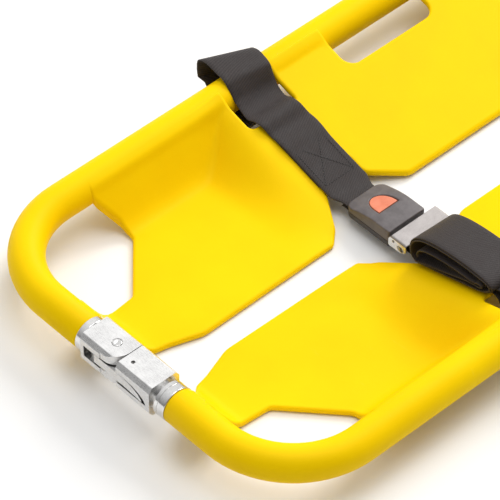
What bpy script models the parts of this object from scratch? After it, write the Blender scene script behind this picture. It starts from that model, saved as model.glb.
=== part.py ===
"""Scoop stretcher: two moulded plastic halves, a latching coupling at each end and three belts.

Metres, +Z up. X runs across the stretcher, Y along it, and the floor is z = 0. The left half is at -X.
The stretcher is the same after half a turn about Z, so both halves come from one mould.
"""
import math

import bmesh
import bpy
from mathutils import Matrix, Vector

# ---- driving dimensions ----
LENGTH = 1.840            # outside length of the moulded frame
TUBE_X = 0.2054           # rim tube centreline, from the middle
TUBE_R = 0.018            # rim tube outside radius
TUBE_Z = 0.043            # rim tube centreline above the floor
BORE_R = 0.0148           # rim tube bore
CORNER_R = 0.090          # corner radius of the rim centreline
TUBE_END_X = 0.0605       # the rim tube stops here, at each coupling
SHEET_T = 0.007           # thickness of the moulded sheet
GAP = 0.0003              # clearance between touching pieces

END_Y = LENGTH / 2 - TUBE_R      # centreline of the end tubes
RAMP_SLOPE = 1.515               # steep wall from the rim down to the low blade
RAMP_FOOT = 0.0450               # distance of its foot from the rim centreline
RAMP_TOP_Z = 0.053
DISH_SLOPE = 0.2993              # the dished middle falls from the rim to the centre
DISH_X = 0.035
DISH_Z = 0.0085
DISH_RIM_Z = 0.0565
BLEND = 0.004

STRAP_Y = END_Y - 0.3225         # outer belts; the third lies in the middle
FOOT_SLOT = 0.3230         # belt slots, distances from the end tube\'s centreline
HEAD_SLOT = 0.3188
SLOT_HALF = 0.0305
SLOT_CORNER = 0.0065
STRAP_W = 0.048
STRAP_T = 0.0014
LATCH_OPEN = 14.0

# ---- colours ----
YELLOW = (0.95, 0.76, 0.005)
BLACK = (0.022, 0.020, 0.021)
GREY_PLASTIC = (0.060, 0.056, 0.058)
RED = (0.90, 0.16, 0.10)
CASTING = (0.74, 0.74, 0.73)
POLISHED = (0.82, 0.82, 0.82)
STEEL = (0.45, 0.44, 0.43)

ALIGN_X = Matrix.Rotation(math.pi / 2, 4, "Y")
ALIGN_Y = Matrix.Rotation(-math.pi / 2, 4, "X")


# ---- helpers ----
def material(name, colour, roughness, metallic):
    found = bpy.data.materials.get(name)
    if found:
        return found
    made = bpy.data.materials.new(name)
    made.use_nodes = True
    shader = made.node_tree.nodes["Principled BSDF"]
    shader.inputs["Base Color"].default_value = (*colour, 1.0)
    shader.inputs["Roughness"].default_value = roughness
    shader.inputs["Metallic"].default_value = metallic
    return made


def make_object(name, bm):
    mesh = bpy.data.meshes.new(name)
    bm.to_mesh(mesh)
    bm.free()
    made = bpy.data.objects.new(name, mesh)
    bpy.context.collection.objects.link(made)
    return made


def discard(item):
    bpy.data.objects.remove(item, do_unlink=True)


def prism(outline, low, high, turn=None):
    """Solid over a closed outline of (u, v) points, between two heights; turn maps it into place."""
    bm = bmesh.new()
    base = [bm.verts.new((u, v, low)) for u, v in outline]
    face = bm.faces.new(base)
    grown = bmesh.ops.extrude_face_region(bm, geom=[face])
    moved = [g for g in grown["geom"] if isinstance(g, bmesh.types.BMVert)]
    bmesh.ops.translate(bm, verts=moved, vec=(0, 0, high - low))
    bmesh.ops.recalc_face_normals(bm, faces=bm.faces)
    if turn:
        bmesh.ops.transform(bm, matrix=turn, verts=bm.verts)
    return make_object("solid", bm)


def side_prism(outline_xz, low_y, high_y):
    """Prism along Y over an outline of (x, z) points."""
    bm = bmesh.new()
    base = [bm.verts.new((x, low_y, z)) for x, z in outline_xz]
    face = bm.faces.new(base)
    grown = bmesh.ops.extrude_face_region(bm, geom=[face])
    moved = [g for g in grown["geom"] if isinstance(g, bmesh.types.BMVert)]
    bmesh.ops.translate(bm, verts=moved, vec=(0, high_y - low_y, 0))
    bmesh.ops.recalc_face_normals(bm, faces=bm.faces)
    return make_object("solid", bm)


def end_prism(outline_yz, low_x, high_x):
    """Prism along X over an outline of (y, z) points."""
    bm = bmesh.new()
    base = [bm.verts.new((low_x, y, z)) for y, z in outline_yz]
    face = bm.faces.new(base)
    grown = bmesh.ops.extrude_face_region(bm, geom=[face])
    moved = [g for g in grown["geom"] if isinstance(g, bmesh.types.BMVert)]
    bmesh.ops.translate(bm, verts=moved, vec=(high_x - low_x, 0, 0))
    bmesh.ops.recalc_face_normals(bm, faces=bm.faces)
    return make_object("solid", bm)


def box(low, high):
    outline = [(low[0], low[1]), (high[0], low[1]), (high[0], high[1]), (low[0], high[1])]
    return prism(outline, low[2], high[2])


def turned(profile, centre, sides, axis="Z", closed=False):
    """Solid turned from (radius, height) points about an axis through the centre.

    An open profile starts and ends on the axis; a closed one is a ring with a hole.
    """
    bm = bmesh.new()
    rings = []
    for radius, height in profile:
        if radius < 1e-9:
            rings.append([bm.verts.new((0, 0, height))])
            continue
        ring = []
        for k in range(sides):
            angle = 2 * math.pi * (k + 0.5) / sides
            ring.append(bm.verts.new((radius * math.cos(angle), radius * math.sin(angle), height)))
        rings.append(ring)
    pairs = list(zip(rings, rings[1:]))
    if closed:
        pairs.append((rings[-1], rings[0]))
    for lower, upper in pairs:
        for k in range(sides):
            j = (k + 1) % sides
            corners = [lower[k % len(lower)], lower[j % len(lower)]]
            corners += [upper[j % len(upper)], upper[k % len(upper)]]
            unique = list(dict.fromkeys(corners))
            if len(unique) > 2:
                bm.faces.new(unique)
    bmesh.ops.recalc_face_normals(bm, faces=bm.faces)
    turn = {"X": ALIGN_X, "Y": ALIGN_Y, "Z": Matrix.Identity(4)}[axis]
    bmesh.ops.transform(bm, matrix=Matrix.Translation(centre) @ turn, verts=bm.verts)
    return make_object("solid", bm)


def cylinder(radius, low, high, centre, sides, axis="Z"):
    return turned([(0, low), (radius, low), (radius, high), (0, high)], centre, sides, axis)


def ring(inner, outer, low, high, centre, sides, axis="Z"):
    """Washer or sleeve with its outer edges slightly rounded."""
    edge = min(0.0006, (high - low) / 4)
    profile = [(inner, low), (outer - edge, low), (outer, low + edge), (outer, high - edge)]
    profile += [(outer - edge, high), (inner, high)]
    return turned(profile, centre, sides, axis, closed=True)


def combine(target, tool, operation):
    """Boolean of two solids; the tool is used up."""
    step = target.modifiers.new("cut", "BOOLEAN")
    step.operation = operation
    step.solver = "EXACT"
    step.object = tool
    graph = bpy.context.evaluated_depsgraph_get()
    mesh = bpy.data.meshes.new_from_object(target.evaluated_get(graph))
    target.modifiers.clear()
    target.data = mesh
    discard(tool)
    return target


def cut(target, *tools):
    for tool in tools:
        combine(target, tool, "DIFFERENCE")
    return target


def join(target, *tools):
    for tool in tools:
        combine(target, tool, "UNION")
    return target


def rounded(corners, radii, steps=4):
    """Closed outline with each corner replaced by an arc; a radius of 0 keeps it sharp."""
    points = []
    count = len(corners)
    for k in range(count):
        here = Vector(corners[k])
        to_last = Vector(corners[k - 1]) - here
        to_next = Vector(corners[(k + 1) % count]) - here
        radius = radii[k] if isinstance(radii, (list, tuple)) else radii
        if radius < 1e-6:
            points.append(tuple(here))
            continue
        half = to_last.angle(to_next) / 2
        reach = min(radius / math.tan(half), 0.49 * to_last.length, 0.49 * to_next.length)
        radius = reach * math.tan(half)
        centre = here + (to_last.normalized() + to_next.normalized()).normalized() * radius / math.sin(half)
        start = here + to_last.normalized() * reach - centre
        sweep = start.angle_signed(here + to_next.normalized() * reach - centre)
        for n in range(steps + 1):
            angle = -sweep * n / steps
            turn = Matrix.Rotation(angle, 2)
            points.append(tuple(centre + turn @ start))
    return points


def arc(centre, radius, start, stop, steps):
    """Points on an arc, angles in degrees."""
    points = []
    for n in range(steps + 1):
        angle = math.radians(start + (stop - start) * n / steps)
        points.append((centre[0] + radius * math.cos(angle), centre[1] + radius * math.sin(angle)))
    return points


def bevel_edges(target, width, chosen, segments=1):
    """Round the edges that the test picks out."""
    bm = bmesh.new()
    bm.from_mesh(target.data)
    bmesh.ops.dissolve_limit(bm, angle_limit=0.001, verts=bm.verts, edges=bm.edges)
    edges = [e for e in bm.edges if e.is_manifold and e.calc_face_angle() > 0.5 and chosen(e)]
    bmesh.ops.bevel(bm, geom=edges, offset=width, segments=segments, profile=0.5, affect="EDGES")
    bm.to_mesh(target.data)
    bm.free()
    return target


def finish(target, name, look, origin=(0, 0, 0), place=None, smooth=35):
    """Name the piece, give it its look, and set its origin on its joint axis."""
    target.name = name
    target.data.name = name
    bm = bmesh.new()
    bm.from_mesh(target.data)
    if place:
        bmesh.ops.transform(bm, matrix=place, verts=bm.verts)
    bmesh.ops.remove_doubles(bm, verts=bm.verts, dist=0.000002)
    bmesh.ops.dissolve_limit(bm, angle_limit=0.002, verts=bm.verts, edges=bm.edges)
    bmesh.ops.triangulate(bm, faces=bm.faces)
    centre = place @ Vector(origin) if place else Vector(origin)
    bmesh.ops.translate(bm, verts=bm.verts, vec=-centre)
    bm.to_mesh(target.data)
    bm.free()
    target.location = centre
    target.data.materials.clear()
    target.data.materials.append(look)
    target.data.shade_smooth()
    target.data.set_sharp_from_angle(angle=math.radians(smooth))
    return target


# ---- moulded halves ----
def smoothstep(low, high, value):
    t = min(max((value - low) / (high - low), 0.0), 1.0)
    return t * t * (3 - 2 * t)


def rim_distance(x, y):
    """Distance inward from the rim centreline, for a point of the right half."""
    corner_x = TUBE_X - CORNER_R
    corner_y = END_Y - CORNER_R
    if x > corner_x and abs(y) > corner_y:
        return CORNER_R - math.hypot(x - corner_x, abs(y) - corner_y)
    return min(TUBE_X - x, END_Y - abs(y))


def dish(y):
    """0 on the flat end blades, 1 on the dished middle."""
    return 1 - smoothstep(END_Y - 0.290, END_Y - 0.228, abs(y))


def sheet_top(x, y):
    """Height of the moulded sheet's upper face, for the right half."""
    share = dish(y)
    blade = SHEET_T + share * (DISH_Z - SHEET_T + max(x - DISH_X, -0.01) * DISH_SLOPE)
    blade = min(blade, DISH_RIM_Z)
    ramp = SHEET_T + (RAMP_FOOT - rim_distance(x, y)) * RAMP_SLOPE
    ramp = min(ramp, RAMP_TOP_Z)
    return 0.5 * (blade + ramp + math.hypot(blade - ramp, BLEND * (1 - share) + 0.0002))


def sheet_bottom(x, y):
    step = 0.001
    slope_x = (sheet_top(x + step, y) - sheet_top(x - step, y)) / (2 * step)
    slope_y = (sheet_top(x, y + step) - sheet_top(x, y - step)) / (2 * step)
    drop = SHEET_T * math.sqrt(1 + slope_x ** 2 + slope_y ** 2)
    return max(sheet_top(x, y) - drop, 0.0)


def from_end(*values):
    """Distances from an end tube's centreline, as Y at the -Y end."""
    return [value - END_Y for value in values]


def sheet_rows():
    """Y stations of the sheet: close where its height changes."""
    near = [0.006, 0.0135, 0.0165, 0.027, 0.037, 0.0405, 0.044, 0.052, 0.10, 0.17, 0.232]
    near += [0.241, 0.250, 0.259, 0.268, 0.277, 0.286]
    low = from_end(*near)
    return low + [-y for y in reversed(low)]


def sheet_columns():
    near_rim = [0.0405, 0.0370, 0.0270, 0.0165, 0.0135]
    inner = [0.006, 0.035, 0.06, 0.085, 0.11, 0.125, 0.14, 0.152, TUBE_X - RAMP_FOOT]
    return inner + [TUBE_X - d for d in near_rim] + [TUBE_X - 0.006]


def height_solid():
    """The whole sheet before its outline is cut, between its upper and lower faces."""
    rows = sheet_rows()
    columns = sheet_columns()
    bm = bmesh.new()
    top = [[bm.verts.new((x, y, sheet_top(x, y))) for x in columns] for y in rows]
    low = [[bm.verts.new((x, y, sheet_bottom(x, y))) for x in columns] for y in rows]
    for i in range(len(rows) - 1):
        for j in range(len(columns) - 1):
            bm.faces.new((top[i][j], top[i][j + 1], top[i + 1][j + 1], top[i + 1][j]))
            bm.faces.new((low[i][j], low[i + 1][j], low[i + 1][j + 1], low[i][j + 1]))
    border = [(0, j) for j in range(len(columns))]
    border += [(i, len(columns) - 1) for i in range(1, len(rows))]
    border += [(len(rows) - 1, j) for j in range(len(columns) - 2, -1, -1)]
    border += [(i, 0) for i in range(len(rows) - 2, 0, -1)]
    for k in range(len(border)):
        i, j = border[k - 1]
        m, n = border[k]
        bm.faces.new((top[i][j], low[i][j], low[m][n], top[m][n]))
    bmesh.ops.recalc_face_normals(bm, faces=bm.faces)
    bmesh.ops.triangulate(bm, faces=bm.faces)
    bmesh.ops.dissolve_limit(bm, angle_limit=0.0002, verts=bm.verts, edges=bm.edges)
    bmesh.ops.triangulate(bm, faces=bm.faces)
    return make_object("sheet", bm)


def rim_path(x_end, steps):
    """Plan points of the rim centreline of the right half, from the -Y coupling to the +Y one."""
    points = [(x_end, -END_Y)]
    points += arc((TUBE_X - CORNER_R, CORNER_R - END_Y), CORNER_R, -90, 0, steps)
    points += arc((TUBE_X - CORNER_R, END_Y - CORNER_R), CORNER_R, 0, 90, steps)
    points.append((x_end, END_Y))
    return points


def rim_solid(radius, x_end, steps, sides):
    """Round bar along the rim centreline."""
    path = rim_path(x_end, steps)
    bm = bmesh.new()
    loops = []
    for k, (x, y) in enumerate(path):
        before = Vector(path[max(k - 1, 0)])
        after = Vector(path[min(k + 1, len(path) - 1)])
        along = (after - before).normalized()
        inward = Vector((-along.y, along.x))
        if k in (0, len(path) - 1):
            inward = Vector((0, 1 if k == 0 else -1))
        loop = []
        for n in range(sides):
            angle = 2 * math.pi * (n + 0.5) / sides
            side = inward * math.cos(angle) * radius
            loop.append(bm.verts.new((x + side.x, y + side.y, TUBE_Z + radius * math.sin(angle))))
        loops.append(loop)
    for one, two in zip(loops, loops[1:]):
        for n in range(sides):
            m = (n + 1) % sides
            bm.faces.new((one[n], one[m], two[m], two[n]))
    bm.faces.new(loops[0])
    bm.faces.new(loops[-1])
    bmesh.ops.recalc_face_normals(bm, faces=bm.faces)
    return make_object("rim", bm)


def mirrored_y(outline):
    return [(x, -y) for x, y in reversed(outline)]


def blade_outline():
    """Inner edge of the right half's blades, closed along the rim centreline."""
    end_blade = [(0.0625, 0.0170), (0.029, 0.050), (0.0255, 0.066), (0.0140, 0.100)]
    notch = [(0.0155, 0.2665), (0.030, 0.2825), (0.066, 0.3038), (0.082, 0.3038), (0.082, 0.3475)]
    notch += [(0.060, 0.3475), (0.0345, 0.3850)]
    corners = [(x, d - END_Y) for x, d in end_blade + notch]
    radii = [0.0, 0.012, 0.02, 0.03, 0.008, 0.02, 0.004, 0.003, 0.003, 0.012, 0.016]
    middle = [(0.0345, -0.060), (0.062, -0.027), (0.082, -0.027)]
    corners += middle
    radii += [0.016, 0.012, 0.003]
    other = mirrored_y(corners)
    closing = list(reversed(rim_path(0.0625, 8)))
    return rounded(corners + other, radii + radii[::-1]) + closing


def hand_hole(low_y, high_y, radius=0.013):
    corners = [(0.1538, low_y), (TUBE_X, low_y), (TUBE_X, high_y), (0.1538, high_y)]
    return rounded(corners, [radius, 0, 0, radius])


def corner_hole():
    """Opening between the end blade and the rim's corner, at the -Y end."""
    inner = [(0.090, -0.008), (0.0925, 0.060), (0.0945, 0.082)]
    inner += [(0.1520, 0.1335), (0.168, 0.1325), (0.186, 0.115)]
    corners = [(x, d - END_Y) for x, d in inner]
    rim = [(TUBE_X + 0.008, 0.112 - END_Y)]
    rim += arc((TUBE_X - CORNER_R, CORNER_R - END_Y), CORNER_R + 0.008, 0, -90, 8)
    return rounded(corners, [0, 0.02, 0.008, 0.012, 0.012, 0.010]) + rim


def plan_cutters():
    holes = [corner_hole(), mirrored_y(corner_hole())]
    for sign, strap_slot in ((-1, FOOT_SLOT), (1, HEAD_SLOT)):
        for distance in (0.477, 0.699):
            centre = sign * (END_Y - distance)
            holes.append(hand_hole(centre - 0.058, centre + 0.058))
        centre = sign * (END_Y - strap_slot)
        holes.append(hand_hole(centre - SLOT_HALF, centre + SLOT_HALF, SLOT_CORNER))
    holes.append(hand_hole(-SLOT_HALF, SLOT_HALF, SLOT_CORNER))
    return [prism(hole, -0.01, 0.08) for hole in holes]


def moulded_half(name, side, look):
    sheet = height_solid()
    combine(sheet, prism(blade_outline(), -0.01, 0.08), "INTERSECT")
    cut(sheet, *plan_cutters())
    join(sheet, rim_solid(TUBE_R, TUBE_END_X, 7, 20))
    cut(sheet, rim_solid(BORE_R, TUBE_END_X - 0.01, 7, 16))
    for sign in (-1, 1):
        cut(sheet, cylinder(RIVET_HOLE_R, 0.0, 0.03, (RIVET_X, sign * END_Y, TUBE_Z - 0.030), 10))
    place = Matrix.Rotation(math.pi, 4, "Z") if side < 0 else Matrix.Identity(4)
    return finish(sheet, name, look, place=place, smooth=30)


# ---- end couplings, drawn about the middle of the -Y end tube ----
PIN_X = -0.0215           # pivot pin
PIN_R = 0.0055
ROLL_X = 0.0065           # roll pin on which the latch lever turns
ROLL_Y = -0.0055
CAST_W = 0.0185           # half width of the castings
CAST_H = 0.018
CAST_FLAT = 0.0145        # half width of their flat top
FORK_END = -0.052
BODY_END = 0.042
NOSE_R = 0.0175
SLOT_H = 0.0065           # half height of the fork's slot
LEVER_H = 0.0060
COLLAR_R = 0.0184
NECK_R = 0.0150
SPIGOT_R = 0.0145
SPIGOT_END = 0.095
RIVET_X = 0.080
RIVET_R = 0.0022
RIVET_HOLE_R = 0.0025


def casting_section():
    low, flat, wide, high = 0.0125, CAST_FLAT, CAST_W, CAST_H
    side = [(flat, -high), (wide, -low), (wide, low), (flat, high)]
    return side + [(-y, z) for y, z in reversed(side)]


def spigot(start, neck_end):
    """Neck under the collar and the spigot inside the tube, along +X."""
    profile = [(0, start), (0.0130, start), (0.0130, neck_end)]
    profile += [(NECK_R, neck_end), (NECK_R, TUBE_END_X - GAP)]
    profile += [(SPIGOT_R, TUBE_END_X - GAP), (SPIGOT_R, SPIGOT_END - 0.001), (SPIGOT_R - 0.001, SPIGOT_END)]
    profile += [(0, SPIGOT_END)]
    made = turned(profile, (0, 0, 0), 16, "X")
    return cut(made, cylinder(RIVET_HOLE_R, -0.016, -0.006, (RIVET_X, 0, 0), 10))


def mirror_x(target):
    bm = bmesh.new()
    bm.from_mesh(target.data)
    bmesh.ops.scale(bm, vec=(-1, 1, 1), verts=bm.verts)
    bmesh.ops.reverse_faces(bm, faces=bm.faces)
    bm.to_mesh(target.data)
    bm.free()
    return target


def fork_body():
    outline = [(FORK_END, -CAST_W - 0.001), (PIN_X - 0.004, -CAST_W - 0.001)]
    outline += [(PIN_X - 0.004, -NOSE_R)] + arc((PIN_X, 0), NOSE_R, -90, 0, 8)
    outline += [(PIN_X + NOSE_R, CAST_W + 0.001), (FORK_END, CAST_W + 0.001)]
    made = prism(outline, -0.03, 0.03)
    combine(made, end_prism(casting_section(), -0.07, 0.03), "INTERSECT")
    slot = [(-0.0395, 0.03), (-0.0395, -0.004), (-0.0475, -0.009), (-0.0475, -0.03)]
    slot += [(0.02, -0.03), (0.02, 0.03)]
    cut(made, prism(slot, -SLOT_H, SLOT_H), cylinder(PIN_R + GAP, -0.03, 0.03, (PIN_X, 0, 0), 20))
    join(made, mirror_x(spigot(-FORK_END - 0.001, -FORK_END - 0.0005)))
    return made


def pad_outline(reach, high):
    """Side view of the latch lever, (x, z): flat along the fork, with a round thumb end."""
    points = [(-0.06, -high), (-0.06, high), (0.004, high)]
    points += [(0.004 + reach * math.sin(a), -high + 2 * high * math.cos(a)) for a in quarter(6)]
    return points


def quarter(steps):
    return [math.pi / 2 * n / steps for n in range(1, steps + 1)]


def tongue_outline():
    """The latch body's tongue round the pivot pin, open towards the fork."""
    points = [(0.004, 0.0135), (PIN_X, 0.0135)] + arc((PIN_X, 0.0040), 0.0095, 90, 168, 5)
    slot = PIN_R + 0.0004
    points += [(PIN_X - 0.0095, slot)] + arc((PIN_X, 0), slot, 90, -90, 8)
    points += [(PIN_X - 0.0050, -slot), (PIN_X - 0.0050, -0.0085), (0.004, -0.0085)]
    return points


def latch_body():
    made = end_prism(casting_section(), PIN_X + NOSE_R + 0.0005, BODY_END)
    pocket = side_prism(pad_outline(0.0325, LEVER_H + 0.0005), -0.03, -0.0045)
    cut(made, pocket)
    boss_room = arc((ROLL_X, ROLL_Y), 0.0056, -30, 210, 10)
    boss_room += [(ROLL_X - 0.0056, -0.03), (ROLL_X + 0.0056, -0.03)]
    cut(made, prism(boss_room, -LEVER_H - 0.0005, LEVER_H + 0.0005))
    arm_room = [(-0.05, -0.03), (ROLL_X, -0.03), (ROLL_X, -0.0085), (-0.05, -0.0085)]
    cut(made, prism(arm_room, -LEVER_H - 0.0005, LEVER_H + 0.0005))
    join(made, prism(tongue_outline(), -LEVER_H, LEVER_H))
    cut(made, prism(boss_room, -LEVER_H - 0.0005, LEVER_H + 0.0005))
    join(made, spigot(BODY_END - 0.001, BODY_END + 0.0045))
    return cut(made, cylinder(0.0020, -0.03, 0.03, (ROLL_X, ROLL_Y, 0), 12))


def latch_lever():
    outline = [(-0.0280, -0.0059), (-0.0335, -0.0059), (-0.0365, -0.0090)]
    outline += [(-0.0365, -0.0150), (-0.0340, -0.0178)]
    outline += [(0.0080, -0.0178), (0.0300, -0.0190), (0.0352, -0.0178), (0.0352, -0.0145), (0.0130, -0.0118)]
    outline += arc((ROLL_X, ROLL_Y), 0.0050, -45, 205, 10)
    outline += [(0.0022, -0.0098), (-0.0250, -0.0098), (-0.0280, -0.0078)]
    made = prism(outline, -LEVER_H, LEVER_H)
    combine(made, side_prism(pad_outline(0.0285, LEVER_H), -0.05, 0.05), "INTERSECT")
    cut(made, cylinder(0.0020, -0.03, 0.03, (ROLL_X, ROLL_Y, 0), 12))
    return cut(made, cylinder(0.0041, 0.0010, 0.03, (ROLL_X, ROLL_Y, 0), 16))


def coil(radius, wire, low, high, turns, centre, sides=4, per_turn=8):
    """Closed helical spring."""
    bm = bmesh.new()
    loops = []
    steps = int(turns * per_turn)
    for k in range(steps + 1):
        angle = 2 * math.pi * k / per_turn
        outward = Vector((math.cos(angle), math.sin(angle), 0))
        height = low + wire + (high - low - 2 * wire) * k / steps
        middle = Vector(centre) + outward * radius + Vector((0, 0, height))
        loop = []
        for n in range(sides):
            turn = 2 * math.pi * n / sides
            offset = outward * math.cos(turn) * wire + Vector((0, 0, math.sin(turn) * wire))
            loop.append(bm.verts.new(middle + offset))
        loops.append(loop)
    for one, two in zip(loops, loops[1:]):
        for n in range(sides):
            m = (n + 1) % sides
            bm.faces.new((one[n], one[m], two[m], two[n]))
    bm.faces.new(loops[0])
    bm.faces.new(loops[-1])
    bmesh.ops.recalc_face_normals(bm, faces=bm.faces)
    return make_object("coil", bm)


def rivet(x):
    head = -TUBE_R - GAP
    profile = [(0, head - 0.0014), (0.0030, head - 0.0014), (0.0045, head - 0.0004), (0.0045, head)]
    profile += [(RIVET_R, head), (RIVET_R, -0.0075), (0, -0.0075)]
    return turned(profile, (x, 0, 0), 12)


def pivot_pin():
    profile = [(0, -0.0182), (PIN_R - 0.0006, -0.0182), (PIN_R, -0.0176)]
    profile += [(PIN_R, 0.0176), (PIN_R - 0.0006, 0.0182)]
    return turned(profile + [(0, 0.0182)], (PIN_X, 0, 0), 20)


def coupling(end, place, looks):
    casting, polished, steel = looks["casting"], looks["polished"], looks["steel"]
    finish(fork_body(), end + "_fork_body", casting, place=place)
    fork_ring = ring(NECK_R + GAP, COLLAR_R, -TUBE_END_X + GAP, FORK_END - GAP, (0, 0, 0), 20, "X")
    finish(fork_ring, end + "_fork_collar", polished, place=place)
    finish(pivot_pin(), end + "_pivot_pin", polished, origin=(PIN_X, 0, 0), place=place)
    finish(rivet(-RIVET_X), end + "_fork_rivet", steel, place=place)
    finish(latch_body(), end + "_latch_body", casting, origin=(PIN_X, 0, 0), place=place)
    latch_ring = ring(NECK_R + GAP, COLLAR_R, BODY_END + 0.0048, TUBE_END_X - GAP, (0, 0, 0), 20, "X")
    finish(latch_ring, end + "_latch_collar", polished, place=place)
    finish(rivet(RIVET_X), end + "_latch_rivet", steel, place=place)
    finish(latch_lever(), end + "_latch_lever", casting, origin=(ROLL_X, ROLL_Y, 0), place=place)
    roll = ring(0.0009, 0.0017, -0.0165, 0.0165, (ROLL_X, ROLL_Y, 0), 10)
    finish(roll, end + "_roll_pin", steel, origin=(ROLL_X, ROLL_Y, 0), place=place)
    spring = coil(0.0031, 0.0004, 0.0014, 0.0058, 3, (ROLL_X, ROLL_Y, 0))
    finish(spring, end + "_latch_spring", steel, place=place)


# ---- belts, drawn about the belt's centre line ----
BUCKLE_REAR = -0.035
BUCKLE_MOUTH = 0.0255
BUCKLE_W = 0.0238
BUCKLE_LOW = 0.010
BUCKLE_SPLIT = 0.0208
WALL = 0.0015
FRAME_LOW = 0.0135
FRAME_T = 0.002
TONGUE_LOW = 0.0215
TONGUE_T = 0.002
LATCH_PIVOT_X = -0.016
LATCH_LOW = 0.0185
LATCH_T = 0.0015
BUTTON_X = 0.000          # straight edge of the D-shaped button
ADJUST_Y = 0.0045         # the adjuster sits a little off the buckle's centre
ADJUST_W = 0.030
ADJUST_X0 = 0.0300
ADJUST_X1 = 0.0493
ADJUST_TOP = 0.0300
BAR_X = 0.0405
BAR_Z = 0.0215
BAR_R = 0.0024
ROLL_SHIFT = -0.006       # the roll sits towards the end of the stretcher


def cover_plan():
    corners = [(BUCKLE_REAR, -BUCKLE_W), (BUCKLE_MOUTH, -BUCKLE_W)]
    corners += [(BUCKLE_MOUTH, BUCKLE_W), (BUCKLE_REAR, BUCKLE_W)]
    return rounded(corners, [0.009, 0.0015, 0.0015, 0.009], 4)


def cover_top(x):
    """Height of the buckle's crowned top: it falls towards the strap."""
    share = smoothstep(BUCKLE_REAR - 0.023, 0.006, x)
    return 0.0185 + 0.0125 * share


def cover_side(drop, low):
    """Side view of the top cover, (x, z), lowered by drop."""
    xs = [BUCKLE_REAR - 0.003 + 0.0075 * k for k in range(9)]
    top = [(x, cover_top(x) - drop) for x in xs]
    return [(xs[0], low)] + top + [(xs[-1], low)]


def button_plan(grow):
    """D shape: straight edge towards the mouth, round towards the strap."""
    half = 0.0122 + grow
    points = [(BUTTON_X + grow, -half), (BUTTON_X + grow, half)]
    depth = 0.0220
    for n in range(1, 10):
        angle = math.pi / 2 - math.pi * n / 10
        points.append((BUTTON_X - (depth + grow) * math.cos(angle) ** 0.8, half * math.sin(angle)))
    return points


def strap_room(high):
    """Cutter for the rear opening through which the webbing enters."""
    return box((-0.045, -0.0205, 0.0116), (-0.030, 0.0205, high))


def top_cover():
    made = prism(cover_plan(), BUCKLE_SPLIT - 0.004, 0.05)
    combine(made, side_prism(cover_side(0, 0.0), -0.05, 0.05), "INTERSECT")
    cut(made, box((-0.06, -0.05, 0.0), (0.06, 0.05, BUCKLE_SPLIT - 0.0032)))

    def top_rim(edge):
        first, second = (v.co for v in edge.verts)
        return min(first.z, second.z) > 0.0185 and abs(first.x - second.x) > 1e-5

    bevel_edges(made, 0.0022, top_rim)
    inner = side_prism(cover_side(0.0018, 0.0), -BUCKLE_W + WALL + 0.001, BUCKLE_W - WALL - 0.001)
    combine(inner, box((BUCKLE_REAR + WALL, -0.05, 0.0), (BUCKLE_MOUTH - WALL, 0.05, 0.05)), "INTERSECT")
    cut(made, inner, strap_room(0.0176))
    cut(made, box((0.02, -0.0195, 0.0), (0.05, 0.0195, TONGUE_LOW + TONGUE_T + 0.0006)))
    pivot_z = LATCH_LOW + LATCH_T / 2
    cut(made, box((LATCH_PIVOT_X - 0.0014, -0.0227, 0.0), (LATCH_PIVOT_X + 0.0014, 0.0227, pivot_z + 0.0014)))
    return cut(made, prism(button_plan(0.0004), 0.015, 0.05))


def bottom_cover():
    made = prism(cover_plan(), BUCKLE_LOW, BUCKLE_SPLIT - 0.0032 - GAP)
    bevel_edges(made, 0.0015, lambda e: max(v.co.z for v in e.verts) < BUCKLE_LOW + 1e-5)
    low = (BUCKLE_REAR + WALL, -BUCKLE_W + WALL, BUCKLE_LOW + WALL)
    return cut(made, box(low, (BUCKLE_MOUTH - WALL, BUCKLE_W - WALL, 0.05)), strap_room(0.05))


def buckle_frame():
    top = FRAME_LOW + FRAME_T
    outline = rounded([(-0.0312, -0.0215), (0.0222, -0.0215), (0.0222, 0.0215), (-0.0312, 0.0215)], 0.002, 2)
    made = prism(outline, FRAME_LOW, top)
    return cut(made, box((-0.0275, -0.0198, 0.0), (-0.0185, 0.0198, 0.05)))


def latch_plate():
    """Latch under the tongue, with its tooth just below it and a hole for the spring."""
    corners = [(-0.0170, -0.008), (0.0180, -0.008), (0.0180, 0.008), (-0.0170, 0.008)]
    made = prism(rounded(corners, 0.001, 1), LATCH_LOW, LATCH_LOW + LATCH_T)
    join(made, box((0.0135, -0.007, LATCH_LOW + 0.0005), (0.0175, 0.007, TONGUE_LOW - GAP)))
    join(made, cylinder(0.0011, -0.0223, 0.0223, (LATCH_PIVOT_X, 0, LATCH_LOW + LATCH_T / 2), 10, "Y"))
    return cut(made, cylinder(0.0034, 0.0, 0.05, (-0.0105, 0, 0), 14))


def button():
    made = prism(button_plan(0.0), 0.0, 0.05)
    side = [(x, z - 0.0004) for x, z in cover_side(0, 0.0)]
    combine(made, side_prism(side, -0.05, 0.05), "INTERSECT")
    under = cover_top(-0.018) - 0.0026
    cut(made, box((-0.05, -0.05, -0.01), (0.05, 0.05, under)))
    stem = box((-0.0045, -0.006, LATCH_LOW + LATCH_T + GAP), (-0.0015, 0.006, under + 0.0005))
    return join(made, stem)


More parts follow.
